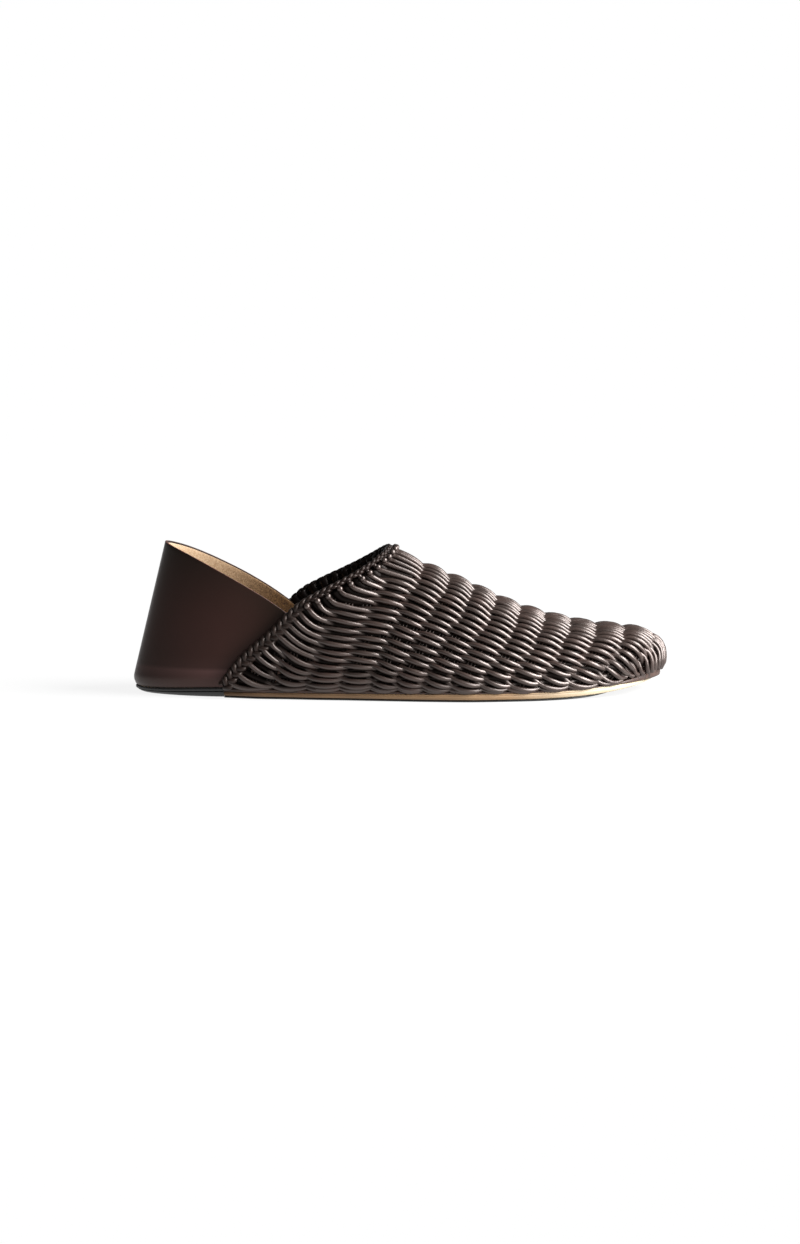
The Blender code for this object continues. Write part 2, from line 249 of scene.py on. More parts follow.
# Painted light and shade on the lining: pale at the back, darker towards the front
LINING_LIGHT_FADE = (-0.112, -0.058, 0.0, 1.0)
SOLE_FADE = (-0.085, 0.105, 0.0, 1.0)
SOLE_BALL = 0.72
FIBRE_STRETCH = (40.0, 40.0, 1800.0)
FIBRE_SHADES = ((0.3, (0.72, 0.7, 0.68)), (0.65, (1.0, 1.0, 1.0)))
RUBBER_RANGE = (0.3, 0.75)
RUBBER_LIGHTER = 1.8
GRAIN_RANGE = (0.3, 0.7)

# Sockets of a Mix node that hold colours
MIX_FIRST, MIX_SECOND, MIX_RESULT = 6, 7, 2

# Stage
FLOOR_HALF = 200.0
FLOOR_ROUGHNESS = 0.9
FLOOR_GLOW = 0.88
WHITE = (1.0, 1.0, 1.0, 1.0)
SENSOR = 36.0

Plan = namedtuple("Plan", "x centre half")
PLAN = (
    Plan(0, 0.0, 28.0),
    Plan(40, 0.0, 29.2),
    Plan(70, -2.0, 29.8),
    Plan(95, -3.8, 31.4),
    Plan(120, -3.4, 35.2),
    Plan(145, -2.0, 39.8),
    Plan(165, -0.6, 42.0),
    Plan(185, 1.2, 41.2),
    Plan(205, 3.2, 38.8),
    Plan(230, 6.0, 36.0),
    Plan(252, 8.5, 33.0),
)

# Sections lean forward from the feather line: ridge height, forward lean at the ridge, fullness exponent
Section = namedtuple("Section", "x ridge lean fullness")
SECTIONS = (
    Section(0, 105.0, 24.2, 4.0),
    Section(40, 104.0, 25.5, 3.6),
    Section(65, 94.0, 27.5, 2.9),
    Section(80, 82.0, 28.0, 2.5),
    Section(96, 66.0, 26.5, 2.2),
    Section(112, 59.0, 24.5, 2.15),
    Section(137, 48.5, 22.9, 2.15),
    Section(164, 37.6, 19.5, 2.2),
    Section(190, 30.4, 17.5, 2.3),
    Section(205, 27.7, 15.8, 2.35),
    Section(220, 26.2, 15.2, 2.4),
    Section(233, 23.4, 15.0, 2.4),
    Section(240, 20.2, 10.8, 2.4),
    Section(246, 16.4, 5.8, 2.4),
    Section(251.5, 9.54, 0.0, 2.4),
)

# Middle of the braided edge, seen from the side
Collar = namedtuple("Collar", "z x")
COLLAR = (
    Collar(5, 41.5),
    Collar(18, 51.0),
    Collar(31, 65.5),
    Collar(44.5, 80.5),
    Collar(52, 95.5),
    Collar(58, 108.0),
    Collar(63, 117.5),
    Collar(66.5, 124.0),
    Collar(70, 130.0),
)

# Top edge of the heel quarter, seen from the side
TopEdge = namedtuple("TopEdge", "x z")
TOP_EDGE = (
    TopEdge(15, 72.3),
    TopEdge(27, 67.5),
    TopEdge(48, 57.0),
    TopEdge(62, 49.0),
    TopEdge(82, 36.2),
)

# Borders of the weave's columns along the feather line
Column = namedtuple("Column", "number foot")
COLUMNS = (
    Column(0, 33.0),
    Column(1, 49.0),
    Column(2, 65.4),
    Column(3, 81.8),
    Column(4, 97.4),
    Column(5, 111.6),
    Column(6, 124.8),
    Column(7, 137.3),
    Column(8, 150.1),
    Column(9, 164.0),
    Column(10, 177.0),
    Column(11, 190.7),
    Column(12, 204.9),
    Column(13, 219.0),
    Column(14, 232.0),
    Column(15, 251.5),
)

# How rows leave the braided edge: height of the start over the sole, climb from the row's own line, slope
Fan = namedtuple("Fan", "height climb slope")
FAN = (
    Fan(0, 5.5, 0.55),
    Fan(8, 9.0, 0.65),
    Fan(19, 13.5, 0.75),
    Fan(28, 14.0, 0.8),
    Fan(38, 10.0, 0.9),
    Fan(46, 6.2, 1.2),
    Fan(54, 3.2, 1.5),
    Fan(67, 1.6, 1.6),
    Fan(84, 0.3, 1.4),
)

# Thickness of the dark layer on top of the sole; at the toe it is a dark layer of its own, and behind the
# ball its dark band is partly painted shadow under the woven wall
Rand = namedtuple("Rand", "x thickness")
RAND = (
    Rand(44, 1.8),
    Rand(100, 1.4),
    Rand(150, 0.9),
    Rand(190, 0.6),
    Rand(222, 0.5),
    Rand(240, 1.4),
    Rand(252, 2.3),
)

# Edge outlines of the sole layers: outset from the layer's edge and share of its height
Edge = namedtuple("Edge", "outset share")
ROUNDED_EDGE = (
    Edge(-0.7, 0.0),
    Edge(-0.2, 0.06),
    Edge(0.0, 0.25),
    Edge(0.0, 0.75),
    Edge(-0.2, 0.94),
    Edge(-0.7, 1.0),
)
GROOVED_EDGE = (
    Edge(-0.6, 0.0),
    Edge(-0.15, 0.05),
    Edge(0.02, 0.2),
    Edge(0.08, 0.45),
    Edge(0.04, 0.68),
    Edge(-0.22, 0.73),
    Edge(0.02, 0.78),
    Edge(-0.02, 0.88),
    Edge(-0.2, 0.97),
    Edge(-0.6, 1.0),
)

# Painted reflection of the floor: lighter band low on the heel leather, from below
Band = namedtuple("Band", "place share")
HEEL_REFLECTION_BAND = (
    Band(0.0, 0.3),
    Band(0.3, 0.4),
    Band(0.57, 0.9),
    Band(0.67, 0.15),
    Band(1.0, 0.0),
)

# Grain of each finish: its noise, and the roughness and bump that it gives, with a depth in metres
Grain = namedtuple("Grain", "scale detail coarseness smoothest roughest bump depth")
CORD_GRAIN = Grain(1900.0, 4.0, 0.6, 0.29, 0.43, 0.4, 0.0001)
HEEL_GRAIN = Grain(2600.0, 4.0, 0.6, 0.34, 0.44, 0.12, 0.00008)
SUEDE_NAP = Grain(1500.0, 5.0, 0.7, 0.8, 0.95, 0.6, 0.0002)
SOLE_FIBRE = Grain(1.0, 4.0, 0.6, 0.5, 0.68, 0.4, 0.0001)
EDGE_PAINT = Grain(400.0, 3.0, 0.55, 0.4, 0.55, 0.0, 0.0)
RAND_GRAIN = Grain(500.0, 3.0, 0.55, 0.5, 0.65, 0.3, 0.0001)
RUBBER_MOTTLE = Grain(1200.0, 3.0, 0.55, 0.42, 0.58, 0.3, 0.0001)

Start = namedtuple("Start", "foot climb slope")
Span = namedtuple("Span", "first last cut")


def smooth_curve(rows, across, up):
    """Monotone cubic through two named columns of a table, flat beyond its ends."""
    xs = np.array([getattr(row, across) for row in rows], float)
    ys = np.array([getattr(row, up) for row in rows], float)
    slopes = np.diff(ys) / np.diff(xs)
    tangents = np.concatenate(([slopes[0]], np.zeros(len(xs) - 2), [slopes[-1]]))
    for i in range(1, len(xs) - 1):
        before, after = slopes[i - 1], slopes[i]
        if before * after > 0:
            tangents[i] = 2 * before * after / (before + after)

    def value(x):
        x = np.clip(x, xs[0], xs[-1])
        i = np.clip(np.searchsorted(xs, x, side="right") - 1, 0, len(xs) - 2)
        step = xs[i + 1] - xs[i]
        t = (x - xs[i]) / step
        rise = ys[i + 1] - ys[i]
        bend = tangents[i] * step - rise
        return ys[i] + t * rise + t * (1 - t) * ((1 - t) * bend + t * (rise - tangents[i + 1] * step))

    return value


def smooth_step(x, low, high):
    """0 below low, 1 above high, and an even ease between them."""
    t = np.clip((x - low) / (high - low), 0.0, 1.0)
    return t * t * (3 - 2 * t)


def solve(error, low, high):
    """Values between low and high where error changes sign, by halving."""
    low_sign = error(low) > 0
    for _ in range(HALVINGS):
        middle = (low + high) / 2
        same = (error(middle) > 0) == low_sign
        low, high = np.where(same, middle, low), np.where(same, high, middle)
    return (low + high) / 2


def unit(vectors):
    """Vectors along the last axis, made one long."""
    length = np.linalg.norm(vectors, axis=-1, keepdims=True)
    return vectors / np.maximum(length, NO_LENGTH)


plan_centre = smooth_curve(PLAN, "x", "centre")
plan_half = smooth_curve(PLAN, "x", "half")
ridge_height = smooth_curve(SECTIONS, "x", "ridge")
ridge_lean = smooth_curve(SECTIONS, "x", "lean")
fullness = smooth_curve(SECTIONS, "x", "fullness")
collar_x = smooth_curve(COLLAR, "z", "x")
top_edge_z = smooth_curve(TOP_EDGE, "x", "z")
column_foot = smooth_curve(COLUMNS, "number", "foot")
rand_thickness = smooth_curve(RAND, "x", "thickness")
fan_climb = smooth_curve(FAN, "height", "climb")
fan_slope = smooth_curve(FAN, "height", "slope")


def feather_x(s):
    """Feather line station, 0 at the heel's back and 1 at the toe tip, close set at both ends."""
    return LAST_BACK + LAST_LENGTH * (1 - np.cos(math.pi * s)) / 2


def station_at(x):
    """Station whose feather line lies at x."""
    return np.arccos(np.clip(1 - 2 * (x - LAST_BACK) / LAST_LENGTH, -1, 1)) / math.pi


def toe_spring(x):
    """Rise of the sole ahead of the ball."""
    return SPRING_RATE * np.maximum(x - SPRING_START, 0.0) ** 2


def feather_z(x):
    """Height of the feather line, where the upper meets the sole."""
    at_heel = FEATHER_AT_BACK + (FEATHER_AT_BREAST - FEATHER_AT_BACK) * smooth_step(x, 0, BREAST_X)
    return at_heel + toe_spring(x)


def half_width(x):
    """Half the last's width, rounded off at heel and toe."""
    heel = np.maximum(1 - (x - LAST_BACK) / HEEL_ROUND, 0.0)
    toe = np.maximum(1 - (LAST_TIP - x) / TOE_ROUND, 0.0)
    return plan_half(x) * np.sqrt(np.maximum((1 - heel * heel) * (1 - toe * toe), 0.0))


def plan_point(s, side):
    """Feather line seen from above."""
    x = feather_x(s)
    y = plan_centre(x) + side * half_width(x)
    return np.stack(np.broadcast_arrays(x, y), axis=-1)


def plan_normal(s, side):
    """Outward direction of the feather line seen from above."""
    s, side = np.broadcast_arrays(s, side)
    along = plan_point(np.minimum(s + PLAN_REACH, 1), side) - plan_point(np.maximum(s - PLAN_REACH, 0), side)
    across = unit(np.stack((-side * along[..., 1], side * along[..., 0]), axis=-1))
    across = np.where((s < PLAN_REACH)[..., None], (-1.0, 0.0), across)
    return np.where((s > 1 - PLAN_REACH)[..., None], (1.0, 0.0), across)


def level_normal(s, side, spread):
    """Level outward direction of the last, straight ahead or back where its two sides meet."""
    normal = plan_normal(s, side)
    x, y, z = np.broadcast_arrays(normal[..., 0], normal[..., 1] * spread, 0.0)
    return unit(np.stack((x, y, z), axis=-1))


def last_point(s, side, rise, spread):
    """Point of the last; rise is 0 at the feather line and 1 at the ridge, spread the other way."""
    x = feather_x(s)
    bottom = feather_z(x)
    ridge_y = plan_centre(x) + RIDGE_INWARD * rise * (1 - smooth_step(x, *TIP_BLEND))
    z = bottom + (ridge_height(x) - bottom) * rise
    bow = STRAIGHT_LEAN + (CURVED_LEAN - STRAIGHT_LEAN) * smooth_step(x, HEEL_ROUND, 2 * HEEL_ROUND)
    ahead = x + ridge_lean(x) * rise**bow
    point = np.stack(np.broadcast_arrays(ahead, ridge_y + side * half_width(x) * spread, z), axis=-1)
    tuck = TUCK_DEPTH * np.maximum(1 - (z - bottom) / TUCK_HEIGHT, 0.0) ** 2
    return point - level_normal(s, side, spread) * tuck[..., None]


def arch_place(s, angle):
    """Side, rise and spread of the last at an angle over the foot."""
    side = np.where(angle <= math.pi / 2, OUTER, INNER)
    across, up = np.abs(np.cos(angle)), np.maximum(np.sin(angle), 0.0)
    power = fullness(feather_x(s))
    radius = (across**power + up**power) ** (-1 / power)
    return side, radius * up, radius * across


def arch_point(s, angle):
    """Point of the last at an angle over the foot: 0 outer sole, pi/2 ridge, pi inner sole."""
    return last_point(s, *arch_place(s, angle))


def arch_outward(s, angle):
    """Outward direction of the last, level where the last curls under and at the toe tip."""
    along = arch_point(np.minimum(s + STATION_REACH, 1), angle) - arch_point(s - STATION_REACH, angle)
    over_high = arch_point(s, np.minimum(angle + ANGLE_REACH, math.pi))
    over_low = arch_point(s, np.maximum(angle - ANGLE_REACH, 0.0))
    normal = unit(np.cross(along, over_high - over_low))
    normal[..., 2] = np.maximum(normal[..., 2], 0.0)
    side, _, spread = arch_place(s, angle)
    share = smooth_step(feather_x(s), *TIP_BLEND)[..., None]
    return unit(level_normal(s, side, spread) * share + unit(normal) * (1 - share))


def arch_offset(s, angle, height):
    """Point at a height over the last."""
    return arch_point(s, angle) + arch_outward(s, angle) * height


def collar_station(angle):
    """Station where the braided edge crosses the line of one angle over the foot."""

    def ahead(s):
        point = arch_point(s, angle)
        return point[..., 0] - collar_x(point[..., 2])

    low, high = (np.full_like(angle, station_at(x)) for x in COLLAR_SEARCH)
    return solve(ahead, low, high)


def place(points):
    """Millimetres from the heel's back to metres from the part's origin."""
    return (points - MIDDLE) * MM


def runs(points):
    """Distance along a line of points from its first."""
    steps = np.linalg.norm(np.diff(points, axis=0), axis=-1)
    return np.concatenate(([0.0], np.cumsum(steps)))


# Meshes and pieces


def grid_faces(rows, columns):
    """Corner numbers of a sheet's faces."""
    first = np.arange(rows - 1)[:, None] * columns + np.arange(columns - 1)[None, :]
    return np.stack((first, first + 1, first + columns + 1, first + columns), axis=-1).reshape(-1, 4)


def sheet_mesh(name, points):
    """Mesh of a sheet through rows of points in millimetres."""
    mesh = bpy.data.meshes.new(name)
    flat = place(points.reshape(-1, 3))
    mesh.from_pydata(flat.tolist(), [], grid_faces(points.shape[0], points.shape[1]).tolist())
    return mesh


def line_mesh(name, lines, **columns):
    """Mesh of separate lines in millimetres, with the named columns kept as attributes of its points."""
    mesh = bpy.data.meshes.new(name)
    edges = []
    count = 0
    for line in lines:
        first = np.arange(count, count + len(line) - 1)
        edges.append(np.stack((first, first + 1), axis=-1))
        count += len(line)
    mesh.from_pydata(place(np.concatenate(lines)).tolist(), np.concatenate(edges).tolist(), [])
    for column, values in columns.items():
        values = np.concatenate(values)
        kind, key = ("FLOAT_VECTOR", "vector") if values.ndim == 2 else ("FLOAT", "value")
        attribute = mesh.attributes.new(column, kind, "POINT")
        attribute.data.foreach_set(key, values.astype(np.float32).ravel())
    return mesh


def add_object(name, mesh):
    """Object that holds a mesh, in the scene."""
    thing = bpy.data.objects.new(name, mesh)
    bpy.context.scene.collection.objects.link(thing)
    return thing


def settle(thing):
    """Apply an object's modifiers, so that a plain mesh is left."""
    depsgraph = bpy.context.evaluated_depsgraph_get()
    mesh = bpy.data.meshes.new_from_object(thing.evaluated_get(depsgraph))
    thing.modifiers.clear()
    old = thing.data
    thing.data = mesh
    bpy.data.meshes.remove(old)
    mesh.name = thing.name
    if not mesh.polygons:
        raise RuntimeError(f"{thing.name} came out empty")


def finish_piece(thing, node):
    """Smooth a finished piece, tie it to the shoe's body and hide the solid that it stands for."""
    thing.data.shade_smooth()
    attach(thing, "root")
    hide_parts(node)


# Materials


class Sketch:
    """Short way to add and join the nodes of one tree."""

    def __init__(self, tree):
        self.tree = tree

    def put(self, socket, value):
        """Link a socket, or set a plain value."""
        if isinstance(value, bpy.types.NodeSocket):
            self.tree.links.new(value, socket)
        else:
            socket.default_value = value

    def node(self, kind, settings=None, **inputs):
        """New node with its settings, and its inputs by name."""
        node = self.tree.nodes.new(kind)
        for key, value in (settings or {}).items():
            setattr(node, key, value)
        for key, value in inputs.items():
            self.put(node.inputs[key.replace("_", " ")], value)
        return node

    def listed(self, kind, settings, *values):
        """New node with its settings, and its inputs in their order."""
        node = self.node(kind, settings)
        for socket, value in zip(node.inputs, values):
            self.put(socket, value)
        return node

    def math(self, operation, *values):
        """Result of a Math node."""
        return self.listed("ShaderNodeMath", {"operation": operation}, *values).outputs[0]

    def vector_math(self, operation, *values, result="Vector"):
        """Result of a Vector Math node."""
        return self.listed("ShaderNodeVectorMath", {"operation": operation}, *values).outputs[result]

    def scaled(self, vector, amount):
        """A vector times a number."""
        scale = self.node("ShaderNodeVectorMath", {"operation": "SCALE"}, Vector=vector, Scale=amount)
        return scale.outputs["Vector"]

    def attribute(self, name, vector=False):
        """Named attribute of a geometry."""
        kind = {"data_type": "FLOAT_VECTOR" if vector else "FLOAT"}
        return self.node("GeometryNodeInputNamedAttribute", kind, Name=name).outputs["Attribute"]

    def ramp(self, factor, stops):
        """Colour ramp through (place, colour) stops."""
        node = self.node("ShaderNodeValToRGB", Fac=factor)
        elements = node.color_ramp.elements
        while len(elements) < len(stops):
            elements.new(0.5)
        for element, (position, colour) in zip(elements, stops):
            element.position = position
            element.color = (*colour, 1.0)
        return node.outputs["Color"]

    def noise(self, vector, scale, detail=3.0, roughness=0.55):
        """Noise over object coordinates."""
        node = self.node("ShaderNodeTexNoise", Vector=vector, Scale=scale, Detail=detail, Roughness=roughness)
        return node.outputs["Fac"]

    def mixed(self, factor, first, second, blend="MIX"):
        """Mix of two colours."""
        node = self.node("ShaderNodeMix", {"data_type": "RGBA", "blend_type": blend}, Factor=factor)
        self.put(node.inputs[MIX_FIRST], first)
        self.put(node.inputs[MIX_SECOND], second)
        return node.outputs[MIX_RESULT]

    def spread(self, value, *fade):
        """Map a value from one range to another, held at its ends."""
        return self.listed("ShaderNodeMapRange", None, value, *fade).outputs[0]


def new_material(name, **sockets):
    """Material with a Principled shader; returns it with its sketch, shader and object coordinates."""
    material = bpy.data.materials.new(name)
    material.use_nodes = True
    sketch = Sketch(material.node_tree)
    shader = material.node_tree.nodes["Principled BSDF"]
    for key, value in sockets.items():
        shader.inputs[key.replace("_", " ")].default_value = value
    coordinates = sketch.node("ShaderNodeTexCoord").outputs["Object"]
    return material, sketch, shader, coordinates


def add_grain(sketch, shader, spot, grain):
    """Let a fine grain drive a shader's roughness and bump; returns the grain's noise."""
    noise = sketch.noise(spot, grain.scale, grain.detail, grain.coarseness)
    roughness = sketch.spread(noise, *GRAIN_RANGE, grain.smoothest, grain.roughest)
    sketch.put(shader.inputs["Roughness"], roughness)
    if grain.bump:
        bump = sketch.node("ShaderNodeBump", Strength=grain.bump, Distance=grain.depth, Height=noise)
        sketch.put(shader.inputs["Normal"], bump.outputs["Normal"])
    return noise


def cord_leather(name, colours, shine):
    """Waxed leather cord: dark brown, each strand a little different, and darker and duller by painted shade
    where it lies inside.
    """
    material, sketch, shader, spot = new_material(name, Specular_Tint=CORD_TINT)
    columns = [sketch.node("ShaderNodeAttribute", {"attribute_name": column}) for column in KEPT_COLUMNS]
    tone, inside = (column.outputs["Fac"] for column in columns)
    base = sketch.ramp(tone, ((0.0, colours.cord_dark), (1.0, colours.cord_light)))
    warmth = sketch.spread(sketch.noise(spot, CORD_PATCH_SCALE), *CORD_PATCH_FADE)
    warm = sketch.mixed(warmth, base, (*colours.cord_warm, 1.0))
    # Painted shade: mix towards near-black with less shine, by the share in the inside column
    painted_shade = sketch.spread(inside, *SHADE_FADE)
    sketch.put(shader.inputs["Base Color"], sketch.mixed(painted_shade, warm, (*colours.cord_painted_shade, 1.0)))
    sketch.put(shader.inputs["Specular IOR Level"], sketch.spread(painted_shade, 0.0, 1.0, shine, SHADE_SHINE))
    add_grain(sketch, shader, spot, CORD_GRAIN)
    return material


def heel_leather(name, colours):
    """Smooth calf leather: burgundy in the middle and darker to the edges, which is painted light and shade,
    with a painted reflection of the floor as a lighter band low down.
    """
    material, sketch, shader, spot = new_material(name, Specular_Tint=HEEL_TINT)
    # Painted light and shade: burgundy round a lit middle, dark away from it
    stretched = sketch.node("ShaderNodeMapping", Vector=spot, Scale=RED_STRETCH).outputs["Vector"]
    away = sketch.vector_math("DISTANCE", stretched, LIT_MIDDLE, result="Value")
    patch = sketch.noise(spot, HEEL_PATCH_SCALE, HEEL_PATCH_DETAIL)
    redness = sketch.math("MULTIPLY_ADD", patch, HEEL_PATCH_SHARE, sketch.spread(away, *LIT_FADE))
    base = sketch.ramp(redness, tuple(zip(RED_RANGE, (colours.heel_painted_shade, colours.heel_red))))
    split = sketch.node("ShaderNodeSeparateXYZ", Vector=spot).outputs
    # Painted shade: less shine towards the vamp
    sketch.put(shader.inputs["Specular IOR Level"], sketch.spread(split["X"], *HEEL_SHINE_SHADE))
    stops = [(stop.place, (stop.share,) * 3) for stop in HEEL_REFLECTION_BAND]
    # Painted reflection of the floor, low on the heel leather
    band = sketch.ramp(sketch.spread(split["Z"], *REFLECTION_FADE_UP), stops)
    band = sketch.math("MULTIPLY", band, sketch.spread(split["X"], *REFLECTION_FADE_ALONG))
    sketch.put(shader.inputs["Base Color"], sketch.mixed(band, base, (*colours.heel_floor_reflection, 1.0)))
    add_grain(sketch, shader, spot, HEEL_GRAIN)
    return material


def suede(name, colours):
    """Tan split leather with a speckled nap, paler at the back as painted light and darker towards the front
    as painted shade.
    """
    material, sketch, shader, spot = new_material(
        name, Sheen_Weight=SUEDE_SHEEN, Sheen_Roughness=SUEDE_SHEEN_ROUGHNESS
    )
    nap = add_grain(sketch, shader, spot, SUEDE_NAP)
    along = sketch.node("ShaderNodeSeparateXYZ", Vector=spot).outputs["X"]
    front = sketch.ramp(nap, tuple(zip(NAP_RANGE, (colours.lining_dark, colours.lining_light))))
    back = sketch.ramp(nap, tuple(zip(GRAIN_RANGE, (colours.lining_light, colours.lining_lit_pale))))
    # Painted light and shade: pale back, darker front
    sketch.put(shader.inputs["Base Color"], sketch.mixed(sketch.spread(along, *LINING_LIGHT_FADE), back, front))
    return material


def sole_leather(name, colours):
    """Natural sole edge: dark tan at the waist to pale at the toe, with fine fibre lines along it."""
    material, sketch, shader, spot = new_material(name)
    along = sketch.node("ShaderNodeSeparateXYZ", Vector=spot).outputs["X"]
    stops = ((0.0, colours.sole_rear), (SOLE_BALL, colours.sole_middle), (1.0, colours.sole_toe))
    base = sketch.ramp(sketch.spread(along, *SOLE_FADE), stops)
    stretched = sketch.node("ShaderNodeMapping", Vector=spot, Scale=FIBRE_STRETCH).outputs["Vector"]
    fibre = add_grain(sketch, shader, stretched, SOLE_FIBRE)
    shade = sketch.ramp(fibre, FIBRE_SHADES)
    sketch.put(shader.inputs["Base Color"], sketch.mixed(1.0, base, shade, "MULTIPLY"))
    return material


def mottled(name, grain, shades, places=GRAIN_RANGE):
    """Finish of two shades that its grain mixes."""
    material, sketch, shader, spot = new_material(name)
    noise = add_grain(sketch, shader, spot, grain)
    sketch.put(shader.inputs["Base Color"], sketch.ramp(noise, tuple(zip(places, shades))))
    return material


def painted_edge(name, colours):
    """Dark painted cut edge of the heel leather."""
    return mottled(name, EDGE_PAINT, (colours.edge_dark, colours.edge_red))


def rand_leather(name, colours):
    """Dark brown leather for the layer between upper and sole, partly painted shadow under the woven wall
    behind the ball, and for the footbed, whose darkness is painted shade inside the shoe.
    """
    return mottled(name, RAND_GRAIN, (colours.rand_dark, colours.rand_red))


def black_rubber(name, colours):
    """Black heel and tread compound, finely mottled."""
    lighter = tuple(channel * RUBBER_LIGHTER for channel in colours.rubber)
    return mottled(name, RUBBER_MOTTLE, (colours.rubber, lighter), RUBBER_RANGE)


# Geometry Nodes


def strand_tree(name, copies, sizes, offset, thickness, painted_shade=None):
    """Tree that turns lines into strands.

    sizes names the tree's inputs with their defaults. offset and thickness each take the sketch, the inputs
    and the strand's number, and return the way from the line to the strand's middle and its radius; the last
    argument takes the sketch and the number, and returns how far the strand lies inside the wall or otherwise
    in painted shade, which is kept as its inside column and darkens and dulls its finish.
    """
    tree = bpy.data.node_groups.new(name, "GeometryNodeTree")
    tree.interface.new_socket("Geometry", in_out="INPUT", socket_type="NodeSocketGeometry")
    tree.interface.new_socket("Geometry", in_out="OUTPUT", socket_type="NodeSocketGeometry")
    for size, value in sizes.items():
        socket = tree.interface.new_socket(size, in_out="INPUT", socket_type="NodeSocketFloat")
        socket.default_value = value
    tree.interface.new_socket("Material", in_out="INPUT", socket_type="NodeSocketMaterial")
    sketch = Sketch(tree)
    given = sketch.node("NodeGroupInput").outputs
    curves = sketch.node("GeometryNodeMeshToCurve", Mesh=given["Geometry"]).outputs[0]
    splines = {"domain": "SPLINE"}
    doubled = sketch.node("GeometryNodeDuplicateElements", splines, Geometry=curves, Amount=copies)
    number = doubled.outputs["Duplicate Index"]
    tone = sketch.math("MULTIPLY_ADD", number, TONE_STEP, sketch.attribute("tone"))
    columns = {
        "tone": sketch.math("FRACT", tone),
        "radius": thickness(sketch, given, number),
        # inside: share of painted shade, which the strand's material reads
        "inside": painted_shade(sketch, number) if painted_shade else 0.0,
    }
    strands = doubled.outputs["Geometry"]
    for column, value in columns.items():
        stored = sketch.node("GeometryNodeStoreNamedAttribute", Geometry=strands, Name=column, Value=value)
        strands = stored.outputs[0]
    moved = sketch.node("GeometryNodeSetPosition", Geometry=strands, Offset=offset(sketch, given, number))
    ring = sketch.node("GeometryNodeCurvePrimitiveCircle", Resolution=CORD_SIDES, Radius=1.0)
    tube = sketch.node(
        "GeometryNodeCurveToMesh", Curve=moved.outputs[0], Profile_Curve=ring.outputs[0],
        Scale=sketch.attribute("radius"), Fill_Caps=True,
    )
    whole = sketch.node("GeometryNodeRealizeInstances", Geometry=tube.outputs[0])
    clad = sketch.node("GeometryNodeSetMaterial", Geometry=whole.outputs[0], Material=given["Material"])
    sketch.node("NodeGroupOutput", Geometry=clad.outputs[0])
    return tree


def add_strands(name, columns, tree, sizes, material, node):
    """Piece of strands along lines, made by a tree with its inputs set, for one of the solids."""
    lines = columns.pop("lines")
    thing = add_object(name, line_mesh(name, lines, **columns))
    modifier = thing.modifiers.new("strands", "NODES")
    modifier.node_group = tree
    values = {**sizes, "Material": material}
    for item in tree.interface.items_tree:
        if item.in_out == "INPUT" and item.name in values:
            modifier[item.identifier] = values[item.name]
    settle(thing)
    for column in [attribute.name for attribute in thing.data.attributes]:
        if column in ("radius", *columns) and column not in KEPT_COLUMNS:
            thing.data.attributes.remove(thing.data.attributes[column])
    finish_piece(thing, node)


def twist(sketch, number, name):
    """Wave of one of a row's two cords; the second cord mirrors the first."""
    return sketch.math("MULTIPLY", sketch.attribute(name), sketch.math("MULTIPLY_ADD", number, -2.0, 1.0))


def share_of(sketch, wave):
    """A wave from -1 to 1 as a share from 0 to 1."""
    return sketch.math("MULTIPLY_ADD", wave, 0.5, 0.5)


def inside_share(sketch, wave):
    """1 where a cord lies deepest, falling to 0 where it lies outside."""
    return sketch.math("POWER", sketch.math("MULTIPLY_ADD", wave, -0.5, 0.5), INSIDE_POWER)


def twined_offset(sketch, given, number):
    """Way of one of a row's two cords: out from under the braid, then round the other cord."""
    wave = twist(sketch, number, "wave")
    free = sketch.spread(sketch.attribute("start"), 0.0, given["Ease"], LEAST_TWIST, 1.0)
    lift = sketch.math("MULTIPLY", sketch.math("MULTIPLY", wave, free), given["Depth"])
    shift = sketch.math("MULTIPLY", inside_share(sketch, wave), sketch.attribute("shift"))
    across = sketch.math("MULTIPLY_ADD", twist(sketch, number, "swing"), given["Slant"], shift)
    outward = sketch.scaled(sketch.attribute("outward", True), lift)
    return sketch.vector_math("ADD", outward, sketch.scaled(sketch.attribute("sideways", True), across))


def twined_inside(sketch, number):
    """How far one of a row's two cords lies inside the wall."""
    return inside_share(sketch, twist(sketch, number, "wave"))


def twined_radius(sketch, given, number):
    """Cord radius: slim at the braid, fuller inside, and drawn to a tip where it dives."""
    inside = twined_inside(sketch, number)
    diving = share_of(sketch, twist(sketch, number, "dive"))
    pinch = sketch.math("MULTIPLY", sketch.math("POWER", diving, TIP_POWER), given["Pinch"])
    rising = sketch.math("POWER", sketch.math("SUBTRACT", 1.0, diving), START_POWER)
    outside = share_of(sketch, twist(sketch, number, "wave"))
    taper = sketch.math("MULTIPLY", sketch.math("MULTIPLY", rising, outside), given["Taper"])
    pinch = sketch.math("ADD", pinch, taper)
    cover = sketch.math("MULTIPLY", sketch.attribute("cover"), given["Swell"])
    swell = sketch.math("MULTIPLY_ADD", inside, cover, 1.0)
    slim_end = sketch.math("MULTIPLY", given["Ease"], SLIM_EASES)
    slim = sketch.spread(sketch.attribute("start"), 0.0, slim_end, START_SLIM, 1.0)
    slim = sketch.math("MAXIMUM", slim, inside)
    share = sketch.math("MULTIPLY", sketch.math("SUBTRACT", swell, pinch), slim)
    girth = sketch.spread(sketch.attribute("tone"), 0.0, 1.0, *GIRTHS)
    return sketch.math("MULTIPLY", sketch.math("MULTIPLY", given["Radius"], girth), share)


def knuckle_offset(sketch, given, number):
    """Knuckles stand out over the weave."""
    return sketch.scaled(sketch.attribute("outward", True), given["Lift"])


